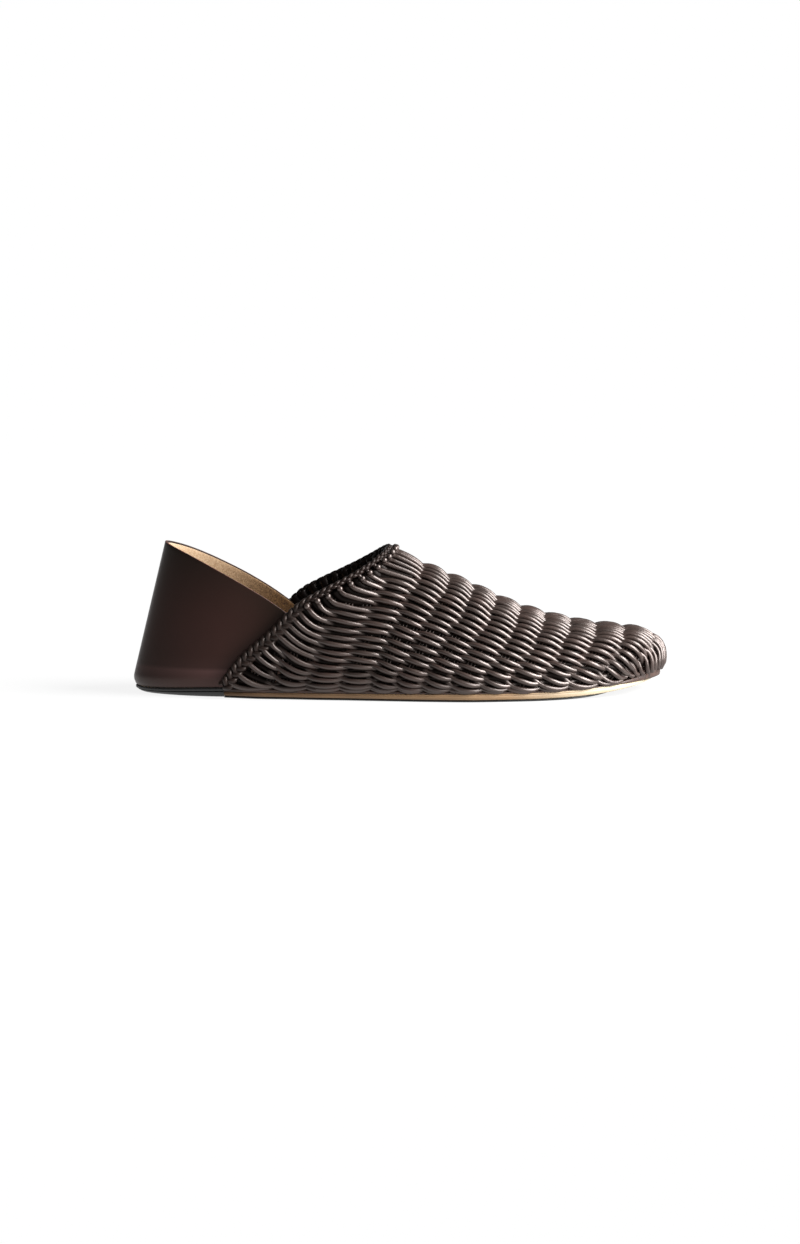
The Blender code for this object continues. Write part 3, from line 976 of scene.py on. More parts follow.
def rounded_radius(sketch, given, number):
    """Radius that follows the strand's own breadth."""
    return sketch.math("MULTIPLY", given["Radius"], sketch.attribute("breadth"))


def rib_offset(sketch, given, number):
    """Strands of a rib, side by side."""
    from_middle = sketch.math("SUBTRACT", number, (RIB_STRANDS - 1) / 2)
    step = sketch.math("MULTIPLY", from_middle, given["Spacing"])
    return sketch.scaled(sketch.attribute("sideways", True), step)


def shaded_inside(sketch, number):
    """How deep a strand lies in painted shade, which darkens and dulls it."""
    return sketch.attribute("shade")


def plait_offset(sketch, given, number):
    """Way of one of a plait's strands: once across the braid and twice in and out in each period."""
    lag = sketch.math("DIVIDE", number, float(PLAIT_STRANDS))
    turns = sketch.math("ADD", sketch.math("DIVIDE", sketch.attribute("along"), given["Period"]), lag)
    angle = sketch.math("MULTIPLY", turns, 2 * math.pi)
    reach = sketch.math("MULTIPLY", given["Swing"], sketch.attribute("spread"))
    swing = sketch.math("MULTIPLY_ADD", sketch.math("SINE", angle), reach, sketch.attribute("lead"))
    lift = sketch.math("MULTIPLY", sketch.math("SINE", sketch.math("MULTIPLY", angle, 2.0)), given["Lift"])
    sideways = sketch.scaled(sketch.attribute("sideways", True), swing)
    return sketch.vector_math("ADD", sideways, sketch.scaled(sketch.attribute("outward", True), lift))


# Weave


class SideNet:
    """One side of the weave's surface: stations along it, and how far below the ridge each angle lies."""

    def __init__(self, side):
        self.columns = np.arange(FIRST_COLUMN, LAST_COLUMN + 0.5 / FINE_STEPS, 1 / FINE_STEPS)
        self.feet = column_foot(self.columns)
        self.stations = station_at(self.feet)
        self.shares = 1 - (1 - np.linspace(0, 1, ANGLE_STEPS)) ** ANGLE_CROWDING
        self.angles = math.pi / 2 * (1 + side * self.shares)
        points = arch_offset(self.stations[:, None], self.angles[None, :], WEAVE_MIDDLE)
        steps = np.linalg.norm(np.diff(points, axis=1), axis=-1)
        self.drops = np.concatenate((np.zeros((len(steps), 1)), np.cumsum(steps, axis=1)), axis=1)
        self.lengths = self.drops[:, -1]
        self.throat_length = float(np.interp(THROAT_X, self.feet, self.lengths))

    def angle_at(self, drops):
        """Angle at a distance below the ridge, station by station."""
        return np.array([np.interp(v, line, self.angles) for v, line in zip(drops, self.drops)])

    def drop_at(self, foot, share):
        """Distance below the ridge at a place on the feather line and a share of the way down."""
        after = int(np.clip(np.searchsorted(self.feet, foot), 1, len(self.feet) - 1))
        pair = self.feet[after - 1 : after + 1]
        drops = [np.interp(share, self.shares, self.drops[i]) for i in (after - 1, after)]
        return np.interp(foot, pair, drops)

    def row_drops(self, drop):
        """Distance below the ridge of one row: even ahead of the throat, then eased to the sole's run."""
        above_sole = self.throat_length - drop
        stretch = 1 + (self.lengths / self.throat_length - 1) * (above_sole / self.throat_length) ** 2
        behind = self.lengths - above_sole * stretch
        return np.where(self.feet < THROAT_X, behind, drop)

    def points(self, angles):
        """Points of the weave's middle surface, one for each station."""
        return arch_offset(self.stations, angles, WEAVE_MIDDLE)


def ahead_of_collar(points):
    """How far points lie ahead of the braided edge."""
    return points[:, 0] - collar_x(points[:, 2])


def longest_run(keep):
    """First and last place of the longest stretch of true values."""
    best, first = (0, 0), None
    for i, good in enumerate(list(keep) + [False]):
        if good and first is None:
            first = i
        elif not good and first is not None:
            if i - first > best[1] - best[0]:
                best = (first, i)
            first = None
    return best


def row_depths(settings):
    """Distances below the ridge of the rows on one side, widest apart high on the side."""
    pitches = (settings.pitch_ridge, settings.pitch_side, settings.pitch_sole, settings.pitch_rear)
    pitches = np.array(pitches) / MM
    depths = [RIDGE_ROW * pitches[0]]
    while depths[-1] < LONGEST_DROP:
        depths.append(depths[-1] + np.interp(depths[-1], PITCH_DEPTHS, pitches))
    return depths


def row_starts(net, side):
    """Where rows leave the braided edge, from the ridge down: depth, foot, climb and slope."""
    shares = np.linspace(0, COLLAR_FOOT, BRAID_POINTS)
    feet = feather_x(collar_station(math.pi / 2 * (1 + side * shares)))
    lengths = np.interp(feet, net.feet, net.lengths)
    height = lengths - np.array([net.drop_at(foot, share) for foot, share in zip(feet, shares)])
    climb = fan_climb(height)
    bend = (lengths / net.throat_length - 1) / net.throat_length**2

    def over_line(above):
        return above + bend * above**3 - (height - climb)

    above = solve(over_line, np.full_like(height, -LONGEST_DROP), np.full_like(height, LONGEST_DROP))
    return net.throat_length - above, feet, climb, fan_slope(height)


def row_turns(columns, wobble):
    """Turn of a row's cords along it; the first stroke stays outside up to a border well past the edge."""
    border = math.ceil(columns[0] + FIRST_STROKE)
    share = np.clip((columns - columns[0]) / (border - columns[0]), 0, 1)
    first = math.pi * (border - 1) + math.pi / 2 * np.maximum((share - FIRST_REST) / (1 - FIRST_REST), 0)
    wobbling = wobble * smooth_step(columns, border, border + 1)
    return np.where(columns < border, first, math.pi * (columns - 0.5) + wobbling)


def gather(columns, strand):
    """Add one strand's line and numbers to the columns of all strands."""
    for key, values in strand.items():
        columns.setdefault(key, []).append(values)


def row_heights(net, drop, start, sway):
    """Height of one row over the sole at each station, and whether it still lies on the upper there."""
    bend = np.clip(1 - (net.feet - start.foot) * start.slope / (2 * start.climb), 0, 1) ** 2
    over_sole = net.lengths - net.row_drops(drop) + start.climb * bend + ROW_SWAY * sway
    low = np.maximum(over_sole, 0) / SQUEEZE_HEIGHT
    lowest = FOOT_ROW + TOE_FOOT * smooth_step(net.feet, *TOE_FOOT_RUN)
    over_foot = over_sole - SQUEEZE * low * np.exp(1 - low) - lowest
    above_sole = lowest + (over_foot + np.hypot(over_foot, FOOT_EASE)) / 2
    return above_sole, over_foot > -FOOT_LENGTH


def row_stretch(net, foot, points, on_upper):
    """Stations of one row from the braided edge on, close set at first, and the run to each of them."""
    begin = foot + np.interp(np.interp(foot, net.feet, points[:, 2]), EDGE_HEIGHTS, ROW_STARTS)
    first, last = longest_run((net.feet > begin) & on_upper)
    run = runs(points[first:last]) if last - first >= FINE_STEPS // 2 else np.zeros(0)
    kept = np.flatnonzero((run < FINE_START) | (np.arange(len(run)) % COARSER == 0))
    return first + kept, run[kept]


def weave_rows(side, settings):
    """Lines of the rows on one side, with the directions and numbers that the cords follow."""
    net = SideNet(side)
    depths, *starts = row_starts(net, side)
    draws = np.random.default_rng(SEED + side)
    rows = {}
    for drop in row_depths(settings):
        tone, sway_rate, sway_place, stray = draws.random(4)
        drop += ROW_STRAY * (2 * stray - 1)
        if drop > depths[-1]:
            continue
        sway_speed = SLOWEST_SWAY + SWAY_RANGE * sway_rate
        sway = np.sin(net.columns * sway_speed + 2 * math.pi * sway_place)
        start = Start(*(np.interp(drop, depths, values) for values in starts))
        above_sole, on_upper = row_heights(net, drop, start, sway)
        angles = net.angle_at(net.lengths - above_sole)
        points = net.points(angles)
        chosen, run = row_stretch(net, start.foot, points, on_upper)
        if not len(chosen):
            continue
        points, above_sole = points[chosen], above_sole[chosen]
        outward = arch_outward(net.stations[chosen], angles[chosen])
        outward[:, 2] -= DROOP * (1 - smooth_step(above_sole, *DROOP_HEIGHTS))
        outward = unit(outward)
        along = unit(np.gradient(points, axis=0))
        turns = row_turns(net.columns[chosen], TURN_WOBBLE * sway[chosen])
        depth_turns = turns - TWIST_LAG
        slanting = LEAST_SLANT + (1 - LEAST_SLANT) * smooth_step(above_sole, *SLANT_HEIGHTS)
        level = 2 * smooth_step(above_sole, *SHIFT_HEIGHTS[side]) - 1
        near_edge = (1 - smooth_step(run, *COVER_LENGTHS)) * smooth_step(points[:, 2], *COVER_HEIGHTS)
        gather(rows, {
            "lines": points,
            "outward": outward,
            "sideways": -side * unit(np.cross(along, outward)),
            "wave": (np.cos(depth_turns) - STEEPNESS * np.cos(3 * depth_turns)) / (1 - STEEPNESS),
            "swing": np.sin(turns) * slanting,
            "dive": np.sin(turns),
            "start": run * MM,
            "shift": level * settings.inner_shift,
            "cover": 1 + COVER * near_edge,
            "tone": np.full(len(points), tone),
        })
    return rows


def gather_rib(ribs, points, sideways, tone, breadth, shade):
    """Add the line of one rib or dark strand, alike along its whole length; a dark strand's shade is painted
    shade.
    """
    alike = {"tone": tone, "breadth": breadth, "shade": shade}
    columns = {key: np.full(len(points), value) for key, value in alike.items()}
    gather(ribs, {"lines": points, "sideways": sideways, **columns})


def across_line(points, outward):
    """Sideways direction along a line of points."""
    return unit(np.cross(unit(np.gradient(points, axis=0)), outward))


def gather_ribs(ribs, side, place_in_column, height, beginning, breadth, shade):
    """Add the lines of the ribs on one side, down each column from ridge to sole."""
    net = SideNet(side)
    draws = np.random.default_rng(SEED)
    for column in range(FIRST_COLUMN, LAST_COLUMN):
        angles = net.angles[::RIB_SPARSE]
        stations = np.full_like(angles, station_at(column_foot(column + place_in_column)))
        points = arch_offset(stations, angles, height)
        keep = ahead_of_collar(points) > beginning
        if keep.sum() < SHORTEST_RIB:
            continue
        sideways = across_line(points[keep], arch_outward(stations[keep], angles[keep]))
        gather_rib(ribs, points[keep], sideways, draws.random(), breadth, shade)


def gather_backing(ribs):
    """Add the dark strands along the ridge and under the rows' starts, in full painted shade."""
    net = SideNet(OUTER)
    ridge = np.full_like(net.stations, math.pi / 2)
    points = arch_offset(net.stations, ridge, BACKING_HEIGHT)
    keep = (ahead_of_collar(points) > SPINE_START) & (net.feet < SPINE_END)
    sideways = across_line(points[keep], arch_outward(net.stations[keep], ridge[keep]))
    gather_rib(ribs, points[keep], sideways, 0.0, BACKING_BREADTH, 1.0)
    points, outward, sideways = (values[::RIM_SPARSE] for values in braid_frame())
    above = points[:, 2] > RIM_FOOT
    points, outward, sideways = points[above], outward[above], sideways[above]
    lead = RIM_LEAD + np.interp(points[:, 2], EDGE_HEIGHTS, PLAIT_LEADS)
    rim = points + sideways * lead[:, None] - outward * (BRAID_HEIGHT - BACKING_HEIGHT)
    gather_rib(ribs, rim, sideways, 0.0, BACKING_BREADTH, 1.0)


def knuckle_lines(settings):
    """Short lines of the knuckles with which the upper rows leave the braided edge."""
    knuckles = {}
    for side in (OUTER, INNER):
        rows = weave_rows(side, settings)
        for points, outward, tone in zip(rows["lines"], rows["outward"], rows["tone"]):
            middle = points[KNUCKLE_PLACE]
            if middle[2] < KNUCKLES_OVER:
                continue
            along = unit(points[KNUCKLE_PLACE + KNUCKLE_REACH] - points[KNUCKLE_PLACE - KNUCKLE_REACH])
            half = np.interp(middle[2], PLAIT_SLIMS, KNUCKLE_HALVES)
            gather(knuckles, {
                "lines": middle - half * np.cos(KNUCKLE_TURNS)[:, None] * along,
                "outward": np.tile(outward[KNUCKLE_PLACE], (KNUCKLE_POINTS, 1)),
                "breadth": np.sin(KNUCKLE_TURNS),
                "tone": np.full(KNUCKLE_POINTS, tone[0]),
            })
    return knuckles


def braid_frame():
    """Middle line of the braided edge with its outward and sideways directions."""
    angles = np.linspace(BRAID_FOOT_ANGLE, math.pi - BRAID_FOOT_ANGLE, BRAID_POINTS)
    stations = collar_station(angles)
    points = arch_offset(stations, angles, BRAID_HEIGHT)
    above = points[:, 2] > BRAID_FOOT
    points = points[above]
    outward = arch_outward(stations[above], angles[above])
    return points, outward, across_line(points, outward)


def plait_line():
    """Middle line of the braided edge, with the directions and numbers that its strands follow."""
    points, outward, sideways = braid_frame()
    height = points[:, 2]
    # Painted shade: darker towards the top of the edge, and full shade on the inner side's upper part
    shade = np.interp(height, PLAIT_SLIMS, PLAIT_SHADES)
    far = smooth_step(points[:, 1], *FAR_PLAIT_SHADE) * smooth_step(height, *FAR_PLAIT_SHADE_HEIGHTS)
    plait = {}
    gather(plait, {
        "lines": points,
        "outward": outward,
        "sideways": sideways,
        "along": runs(points) * MM,
        "spread": np.interp(height, PLAIT_SLIMS, (1.0, PLAIT_SLIMMEST)),
        "breadth": np.interp(height, PLAIT_SLIMS, (1.0, PLAIT_THINNEST)),
        "lead": np.interp(height, EDGE_HEIGHTS, PLAIT_LEADS) * MM,
        "shade": shade + (1 - shade) * far,
        "tone": np.zeros(len(points)),
    })
    return plait


# Heel leather and sole


def quarter_point(s, side, share):
    """Point of the heel leather at a share of its height, 0 at the feather line and 1 at its top edge."""
    x = feather_x(s)
    bottom, ridge = feather_z(x), ridge_height(x)

    def over_edge(z):
        return z - top_edge_z(x + ridge_lean(x) * (z - bottom) / (ridge - bottom))

    top = solve(over_edge, bottom, np.full_like(bottom, HIGHEST_TOP))
    rise = share * (top - bottom) / (ridge - bottom)
    spread = (1 - rise ** fullness(x)) ** (1 / fullness(x))
    return last_point(s, side, rise, spread)


def quarter_front(share):
    """Station of the heel leather's front edge, lapped under the vamp."""

    def ahead(s):
        point = quarter_point(s, OUTER, share)
        return point[..., 0] - collar_x(point[..., 2]) - QUARTER_LAP

    low, high = (np.full_like(share, station_at(x)) for x in QUARTER_SEARCH)
    return solve(ahead, low, high)


def quarter_sheet(top_share):
    """Rows of points over the heel leather's outside, from one front round the heel to the other."""
    shares = np.linspace(0, 1, QUARTER_ROWS) ** QUARTER_CROWDING * top_share
    fronts = quarter_front(shares)[:, None]
    steps = np.linspace(0, 1, QUARTER_COLUMNS)[None, :]
    outer = quarter_point(fronts * steps[:, ::-1], OUTER, shares[:, None])
    inner = quarter_point(fronts * steps[:, 1:], INNER, shares[:, None])
    return np.concatenate((outer, inner), axis=1)


def sheet_outward(points):
    """Outward direction of each point of the heel sheet."""
    over = np.gradient(points, axis=0)
    round_heel = np.gradient(points, axis=1)
    normal = unit(np.cross(over, round_heel))
    middle = points.mean(axis=(0, 1))
    outward = (normal * (points - middle)).sum(axis=-1).mean() > 0
    return normal if outward else -normal


def eased(x, first, last, run):
    """A size that goes from one value to another over a run of x."""
    return first + (last - first) * smooth_step(x, *run)


def outsole_edge(x):
    """Outset of the sole's edge, from under the heel leather to flush with the woven wall."""
    return eased(x, -RIM_INSET, OUTSOLE_OUTSET, OUTSOLE_WIDENS)


def sole_seat(x):
    """Top of heel rim and sole, just under the upper."""
    return feather_z(x) - LAYER_GAP


def rim_low(x):
    """Underside of the heel's rim."""
    return sole_seat(x) - RIM_THICKNESS


def rim_edge(x, share):
    """Edge of the heel's rim, a little inside the heel leather."""
    return np.full_like(x, -RIM_INSET)


def lift_high(x):
    """Top of the heel block."""
    return rim_low(x) - LAYER_GAP


def lift_edge(x, share):
    """Edge of the heel block, set in towards the floor."""
    return np.full_like(x, -LIFT_FLOOR_INSET + (LIFT_FLOOR_INSET - LIFT_TOP_INSET) * share)


def tread_high(x):
    """Top of the tread."""
    return TREAD_THICKNESS + toe_spring(x)


def tread_edge(x, share):
    """Edge of the tread, set in further at the toe."""
    return outsole_edge(x) - eased(x, TREAD_INSET, TREAD_TOE_INSET, TREAD_NARROWS)


def leather_low(x):
    """Underside of the leather sole, thinned towards the toe."""
    return tread_high(x) + LAYER_GAP + eased(x, 0.0, TOE_BEVEL, TOE_BEVEL_RUN)


def leather_high(x):
    """Top of the leather sole, under the dark layer."""
    return sole_seat(x) - rand_thickness(x)


def leather_edge(x, share):
    """Edge of the leather sole, set back at the toe."""
    return outsole_edge(x) - eased(x, 0.0, TOE_SETBACK, TOE_SETBACK_RUN)


def rand_high(x):
    """Top of the dark layer, which stands up at the toe."""
    return sole_seat(x) + eased(x, 0.0, RAND_RISE, RAND_RISE_RUN)


def rand_edge(x, share):
    """Edge of the dark layer."""
    return outsole_edge(x) - RAND_INSET


def footbed_high(x):
    """Top of the footbed."""
    return feather_z(x) + INSOLE_THICKNESS


def footbed_edge(x, share):
    """Edge of the footbed, inside heel lining and weave."""
    return eased(x, -INSOLE_INSET_HEEL, -INSOLE_INSET_FRONT, INSOLE_WIDENS)


def layer_mesh(name, span, edge, low, high, outline):
    """Closed layer along the sole with a shaped edge; the span's cut holds the least and most x it may reach.

    Heights follow the outsole's own bend, so layers of unlike width lie on each other.
    """
    stations = np.linspace(span.first, span.last, SOLE_STATIONS)
    x = feather_x(stations)
    rings = []
    for side, corners in ((OUTER, outline), (INNER, outline[::-1])):
        normal = plan_normal(stations, side)
        for corner in corners:
            outset = edge(x, corner.share) + corner.outset
            spot = plan_point(stations, side) + normal * outset[:, None]
            height = spot[:, 0] - normal[:, 0] * outsole_edge(x)
            z = low(height) + (high(height) - low(height)) * corner.share
            rings.append(np.stack((np.clip(spot[:, 0], *span.cut), spot[:, 1], z), axis=-1))
    points = np.stack(rings, axis=1)
    count = points.shape[1]
    faces = []
    for i in range(SOLE_STATIONS - 1):
        for j in range(count):
            k = (j + 1) % count
            faces.append((i * count + j, i * count + k, (i + 1) * count + k, (i + 1) * count + j))
    faces.append(tuple(range(count))[::-1])
    faces.append(tuple(range((SOLE_STATIONS - 1) * count, SOLE_STATIONS * count)))
    mesh = bpy.data.meshes.new(name)
    mesh.from_pydata(place(points.reshape(-1, 3)).tolist(), [], faces)
    return mesh


def add_layer(name, node, material, span, edge, low, high, outline=ROUNDED_EDGE):
    """One layer of the sole, or the footbed."""
    mesh = layer_mesh(name, span, edge, low, high, outline)
    mesh.materials.append(material)
    finish_piece(add_object(name, mesh), node)


# Settings


def length_setting(name, description, millimetres):
    """Length property, given in millimetres."""
    metres = millimetres * MM
    return bpy.props.FloatProperty(name=name, description=description, default=metres, unit="LENGTH")


def share_setting(name, description, share):
    """Property that is a share of something."""
    return bpy.props.FloatProperty(name=name, description=description, default=share, subtype="FACTOR")


def angle_setting(name, description, degrees):
    """Angle property, given in degrees."""
    angle = math.radians(degrees)
    return bpy.props.FloatProperty(name=name, description=description, default=angle, subtype="ANGLE")


def strength_setting(name, description, strength, unit="NONE"):
    """Property for a light's strength, or for another plain number."""
    return bpy.props.FloatProperty(name=name, description=description, default=strength, unit=unit)


def place_setting(name, description, place, unit="LENGTH"):
    """Place property in metres, or a direction without a unit."""
    return bpy.props.FloatVectorProperty(
        name=name, description=description, default=place, subtype="XYZ", unit=unit
    )


def colour_setting(name, description, default):
    """Colour property in linear RGB."""
    return bpy.props.FloatVectorProperty(
        name=name, description=description, default=default, subtype="COLOR", size=3, min=0.0, max=1.0
    )


class MuleWeaveSettings(bpy.types.PropertyGroup):
    """Sizes of the woven vamp and its braided edge."""

    cord_radius: length_setting("Cord radius", "Radius of a cord where it lies outside", 1.3)
    pinch: share_setting("Tip", "Share of its radius that a cord loses where it dives", 0.16)
    taper: share_setting("Start", "Share of its radius that a cord lacks where it comes up", 0.5)
    swell: share_setting(
        "Inner swell", "Share of its radius that a cord gains where it is pressed inside", 0.6
    )
    depth: length_setting("Twist depth", "How far a cord swings in and out of the wall", 1.8)
    slant: length_setting("Twist slant", "How far a cord swings up and down along its row", 0.65)
    inner_shift: length_setting(
        "Inner shift", "How far a cord moves across its row while it lies inside", 1.6
    )
    ease: length_setting("Ease", "Length in which a cord comes out from under the braid", 5.5)
    pitch_ridge: length_setting("Row pitch at ridge", "Distance between rows near the ridge", 3.3)
    pitch_side: length_setting("Row pitch on side", "Distance between rows high on the side", 4.0)
    pitch_sole: length_setting("Row pitch at sole", "Distance between rows low on the side", 3.6)
    pitch_rear: length_setting(
        "Row pitch at rear", "Distance between the short rows that end at the sole", 2.85
    )
    rib_radius: length_setting("Rib strand radius", "Radius of the thin strands under the rows", 0.4)
    rib_spacing: length_setting("Rib strand spacing", "Distance between a rib's strands", 1.6)
    knuckle_radius: length_setting("Knuckle radius", "Radius of the knuckles along the braid", 1.45)
    knuckle_lift: length_setting("Knuckle lift", "How far the knuckles stand out over the weave", 2.9)
    plait_radius: length_setting("Plait strand radius", "Radius of the braided edge's strands", 1.3)
    plait_swing: length_setting("Plait swing", "How far its strands swing across the braid", 2.3)
    plait_lift: length_setting("Plait lift", "How far its strands swing in and out", 0.8)
    plait_period: length_setting("Plait period", "Length in which a strand comes back to its side", 11.2)


class MuleHeelSettings(bpy.types.PropertyGroup):
    """Sizes of the heel leather and its lining."""

    leather_wall: length_setting("Leather thickness", "Thickness of the heel leather", 1.15)
    lining_wall: length_setting("Lining thickness", "Thickness of the suede lining", 0.75)
    lining_drop: share_setting("Lining share", "Share of the heel's height that the lining covers", 0.988)
    edge_round: length_setting("Edge rounding", "Rounding of the leather's cut edges", 0.3)


class MuleColours(bpy.types.PropertyGroup):
    """Colours of the shoe's materials, in linear RGB."""

    cord_dark: colour_setting("Cord dark", "Darker cords of the weave", (0.014, 0.0085, 0.0068))
    cord_light: colour_setting("Cord light", "Lighter cords of the weave", (0.023, 0.0145, 0.0118))
    # Painted shade: near-black colour of cords where they lie inside the wall, in the plait's shade and in
    # the backing strands
    cord_painted_shade: colour_setting("Cord inside", "Cords where they lie inside", (0.004, 0.0026, 0.0022))
    cord_warm: colour_setting("Cord warm", "Warm patches along the cords", (0.030, 0.0155, 0.0122))
    # Heel leather: burgundy where painted light falls, painted shade at its edges and towards the vamp
    heel_painted_shade: colour_setting("Heel dark", "Darker parts of the heel leather", (0.0075, 0.0056, 0.0036))
    heel_red: colour_setting("Heel red", "Redder parts of the heel leather", (0.026, 0.0095, 0.0075))
    # Painted reflection of the floor: lighter band low on the heel leather
    heel_floor_reflection: colour_setting("Heel band", "Rubbed band low on the heel leather", (0.085, 0.042, 0.040))
    # Lining: painted shade darkens its front, painted light makes its back pale
    lining_dark: colour_setting("Lining dark", "Darker nap of the lining", (0.036, 0.0145, 0.0036))
    lining_light: colour_setting("Lining light", "Lighter nap of the lining", (0.33, 0.175, 0.060))
    lining_lit_pale: colour_setting("Lining pale", "Worn pale nap at the back", (0.50, 0.40, 0.29))
    edge_dark: colour_setting("Edge dark", "Painted edge of the heel leather", (0.020, 0.010, 0.009))
    edge_red: colour_setting("Edge red", "Rubbed parts of the painted edge", (0.12, 0.035, 0.022))
    sole_rear: colour_setting("Sole at waist", "Sole edge behind the ball", (0.115, 0.058, 0.022))
    sole_middle: colour_setting("Sole at ball", "Sole edge at the ball", (0.25, 0.15, 0.073))
    sole_toe: colour_setting("Sole at toe", "Sole edge at the toe", (0.42, 0.36, 0.25))
    # Dark layer colours: partly painted shadow on the sole's top layer behind the ball, and painted shade on
    # the footbed
    rand_dark: colour_setting("Rand dark", "Dark layer on top of the sole", (0.018, 0.010, 0.007))
    rand_red: colour_setting("Rand red", "Redder parts of that layer", (0.05, 0.022, 0.014))
    rubber: colour_setting("Rubber", "Heel and tread", (0.008, 0.008, 0.008))
    floor: colour_setting("Floor", "Studio floor", (0.08, 0.08, 0.08))


class MuleStageSettings(bpy.types.PropertyGroup):
    """Camera, lights and floor."""

    elevation: angle_setting("Camera elevation", "Angle of the view above the floor", 7)
    aim: place_setting("Camera aim", "Point in the middle of the picture", (-0.0002, 0.0, 0.033))
    picture_height: length_setting("Picture height", "Height that the picture covers at the shoe", 598.4)
    lens: strength_setting("Lens", "Focal length for a sensor 36 mm on its long side, in millimetres", 150.0)
    key_power: strength_setting("Key light", "Strength of the broad soft light over the toe", 5.9)
    key_breadth: angle_setting("Key breadth", "Angle that the key light fills", 30)
    key_from: place_setting("Key direction", "Where the key light comes from", (0.72, -0.05, 0.69), "NONE")
    fill_power: strength_setting("Toe light", "Power of the soft box beside the toe", 6.0, "POWER")
    fill_size: length_setting("Toe light size", "Side of the soft box beside the toe", 350.0)
    fill_from: place_setting("Toe light place", "Where the soft box stands", (0.4, -0.2, 0.18))
    surround_heel: strength_setting("Surround at heel", "Strength of the surround on the heel's side", 0.1)
    surround_toe: strength_setting("Surround at toe", "Strength of the surround on the toe's side", 0.35)


# Operators


class MULE_OT_stage(bpy.types.Operator):
    """Add the floor, the soft lights, the pale surround and the camera"""

    bl_idname = "mule.stage"
    bl_label = "Stage"

    def execute(self, context):
        settings = context.scene.mule_stage
        self.add_floor(context.scene.mule_colours)
        self.add_light("key_light", "SUN", settings.key_from, settings.key_power, angle=settings.key_breadth)
        self.add_light("toe_light", "AREA", settings.fill_from, settings.fill_power, size=settings.fill_size)
        self.add_surround(context.scene, settings)
        self.add_camera(context.scene, settings)
        return {"FINISHED"}

    def add_floor(self, colours):
        """Wide pale floor."""
        mesh = bpy.data.meshes.new("floor")
        half = FLOOR_HALF
        corners = [(-half, -half, 0), (half, -half, 0), (half, half, 0), (-half, half, 0)]
        mesh.from_pydata(corners, [], [range(4)])
        floor = add_object("floor", mesh)
        material, *_ = new_material(
            "pale_floor", Base_Color=(*colours.floor, 1.0), Roughness=FLOOR_ROUGHNESS, Specular_IOR_Level=0.0,
            Emission_Color=WHITE, Emission_Strength=FLOOR_GLOW,
        )
        mesh.materials.append(material)

    def add_light(self, name, kind, place, power, **sizes):
        """Soft light that shines from a place to the shoe."""
        light = bpy.data.lights.new(name, kind)
        light.energy = power
        for key, value in sizes.items():
            setattr(light, key, value)
        lamp = add_object(name, light)
        lamp.location = place
        lamp.rotation_euler = (-Vector(place)).to_track_quat("-Z", "Y").to_euler()

    def add_surround(self, scene, settings):
        """Pale light from all round, brighter on the toe's side."""
        world = bpy.data.worlds.new("surround")
        world.use_nodes = True
        sketch = Sketch(world.node_tree)
        background = world.node_tree.nodes["Background"]
        direction = sketch.node("ShaderNodeTexCoord").outputs["Generated"]
        across = sketch.node("ShaderNodeSeparateXYZ", Vector=direction).outputs["X"]
        glow = sketch.spread(across, -1.0, 1.0, settings.surround_heel, settings.surround_toe)
        sketch.put(background.inputs["Strength"], glow)
        background.inputs["Color"].default_value = WHITE
        scene.world = world
        scene.view_settings.view_transform = "Standard"

    def add_camera(self, scene, settings):
        """Long lens at the outer side of the shoe."""
        camera = bpy.data.cameras.new("camera")
        camera.lens = settings.lens
        camera.sensor_width = SENSOR
        distance = settings.picture_height * settings.lens / SENSOR
        back = Vector((0.0, -math.cos(settings.elevation), math.sin(settings.elevation)))
        view = add_object("camera", camera)
        view.location = Vector(settings.aim) + back * distance
        view.rotation_euler = (-back).to_track_quat("-Z", "Y").to_euler()
        scene.camera = view


class MULE_OT_weave(bpy.types.Operator):
    """Twine the vamp's rows of cords over the last, one piece for each side"""

    bl_idname = "mule.weave"
    bl_label = "Woven vamp"

    def execute(self, context):
        settings = context.scene.mule_weave
        sizes = {
            "Radius": settings.cord_radius,
            "Pinch": settings.pinch,
            "Taper": settings.taper,
            "Depth": settings.depth,
            "Slant": settings.slant,
            "Ease": settings.ease,
            "Swell": settings.swell,
        }
        # How deep each cord lies inside the wall also sets its painted shade
        tree = strand_tree("twined_cords", ROW_CORDS, sizes, twined_offset, twined_radius, twined_inside)
        material = cord_leather("cord_leather", context.scene.mule_colours, CORD_SHINE)
        for name, side in (("weave_outer_side", OUTER), ("weave_inner_side", INNER)):
            add_strands(name, weave_rows(side, settings), tree, sizes, material, "vamp")
        return {"FINISHED"}


class MULE_OT_ribs(bpy.types.Operator):
    """Lay the thin strands that the rows are twined over, and the dark ones in painted shade that close the
    weave
    """

    bl_idname = "mule.ribs"
    bl_label = "Weave ribs"

    def execute(self, context):
        settings = context.scene.mule_weave
        sizes = {"Radius": settings.rib_radius, "Spacing": settings.rib_spacing}
        tree = strand_tree("rib_strands", RIB_STRANDS, sizes, rib_offset, rounded_radius, shaded_inside)
        material = cord_leather("rib_leather", context.scene.mule_colours, PLAIT_SHINE)
        ribs = {}
        gather_backing(ribs)
        for side in (OUTER, INNER):
            gather_ribs(ribs, side, RIB_PLACE, WEAVE_MIDDLE, RIB_START, 1.0, 0.0)
            # Dark backing strands behind the crossings, in full painted shade
            gather_ribs(ribs, side, BACKING_PLACE, BACKING_HEIGHT, SPINE_START, BACKING_BREADTH, 1.0)
        add_strands("weave_ribs", ribs, tree, sizes, material, "vamp")
        return {"FINISHED"}


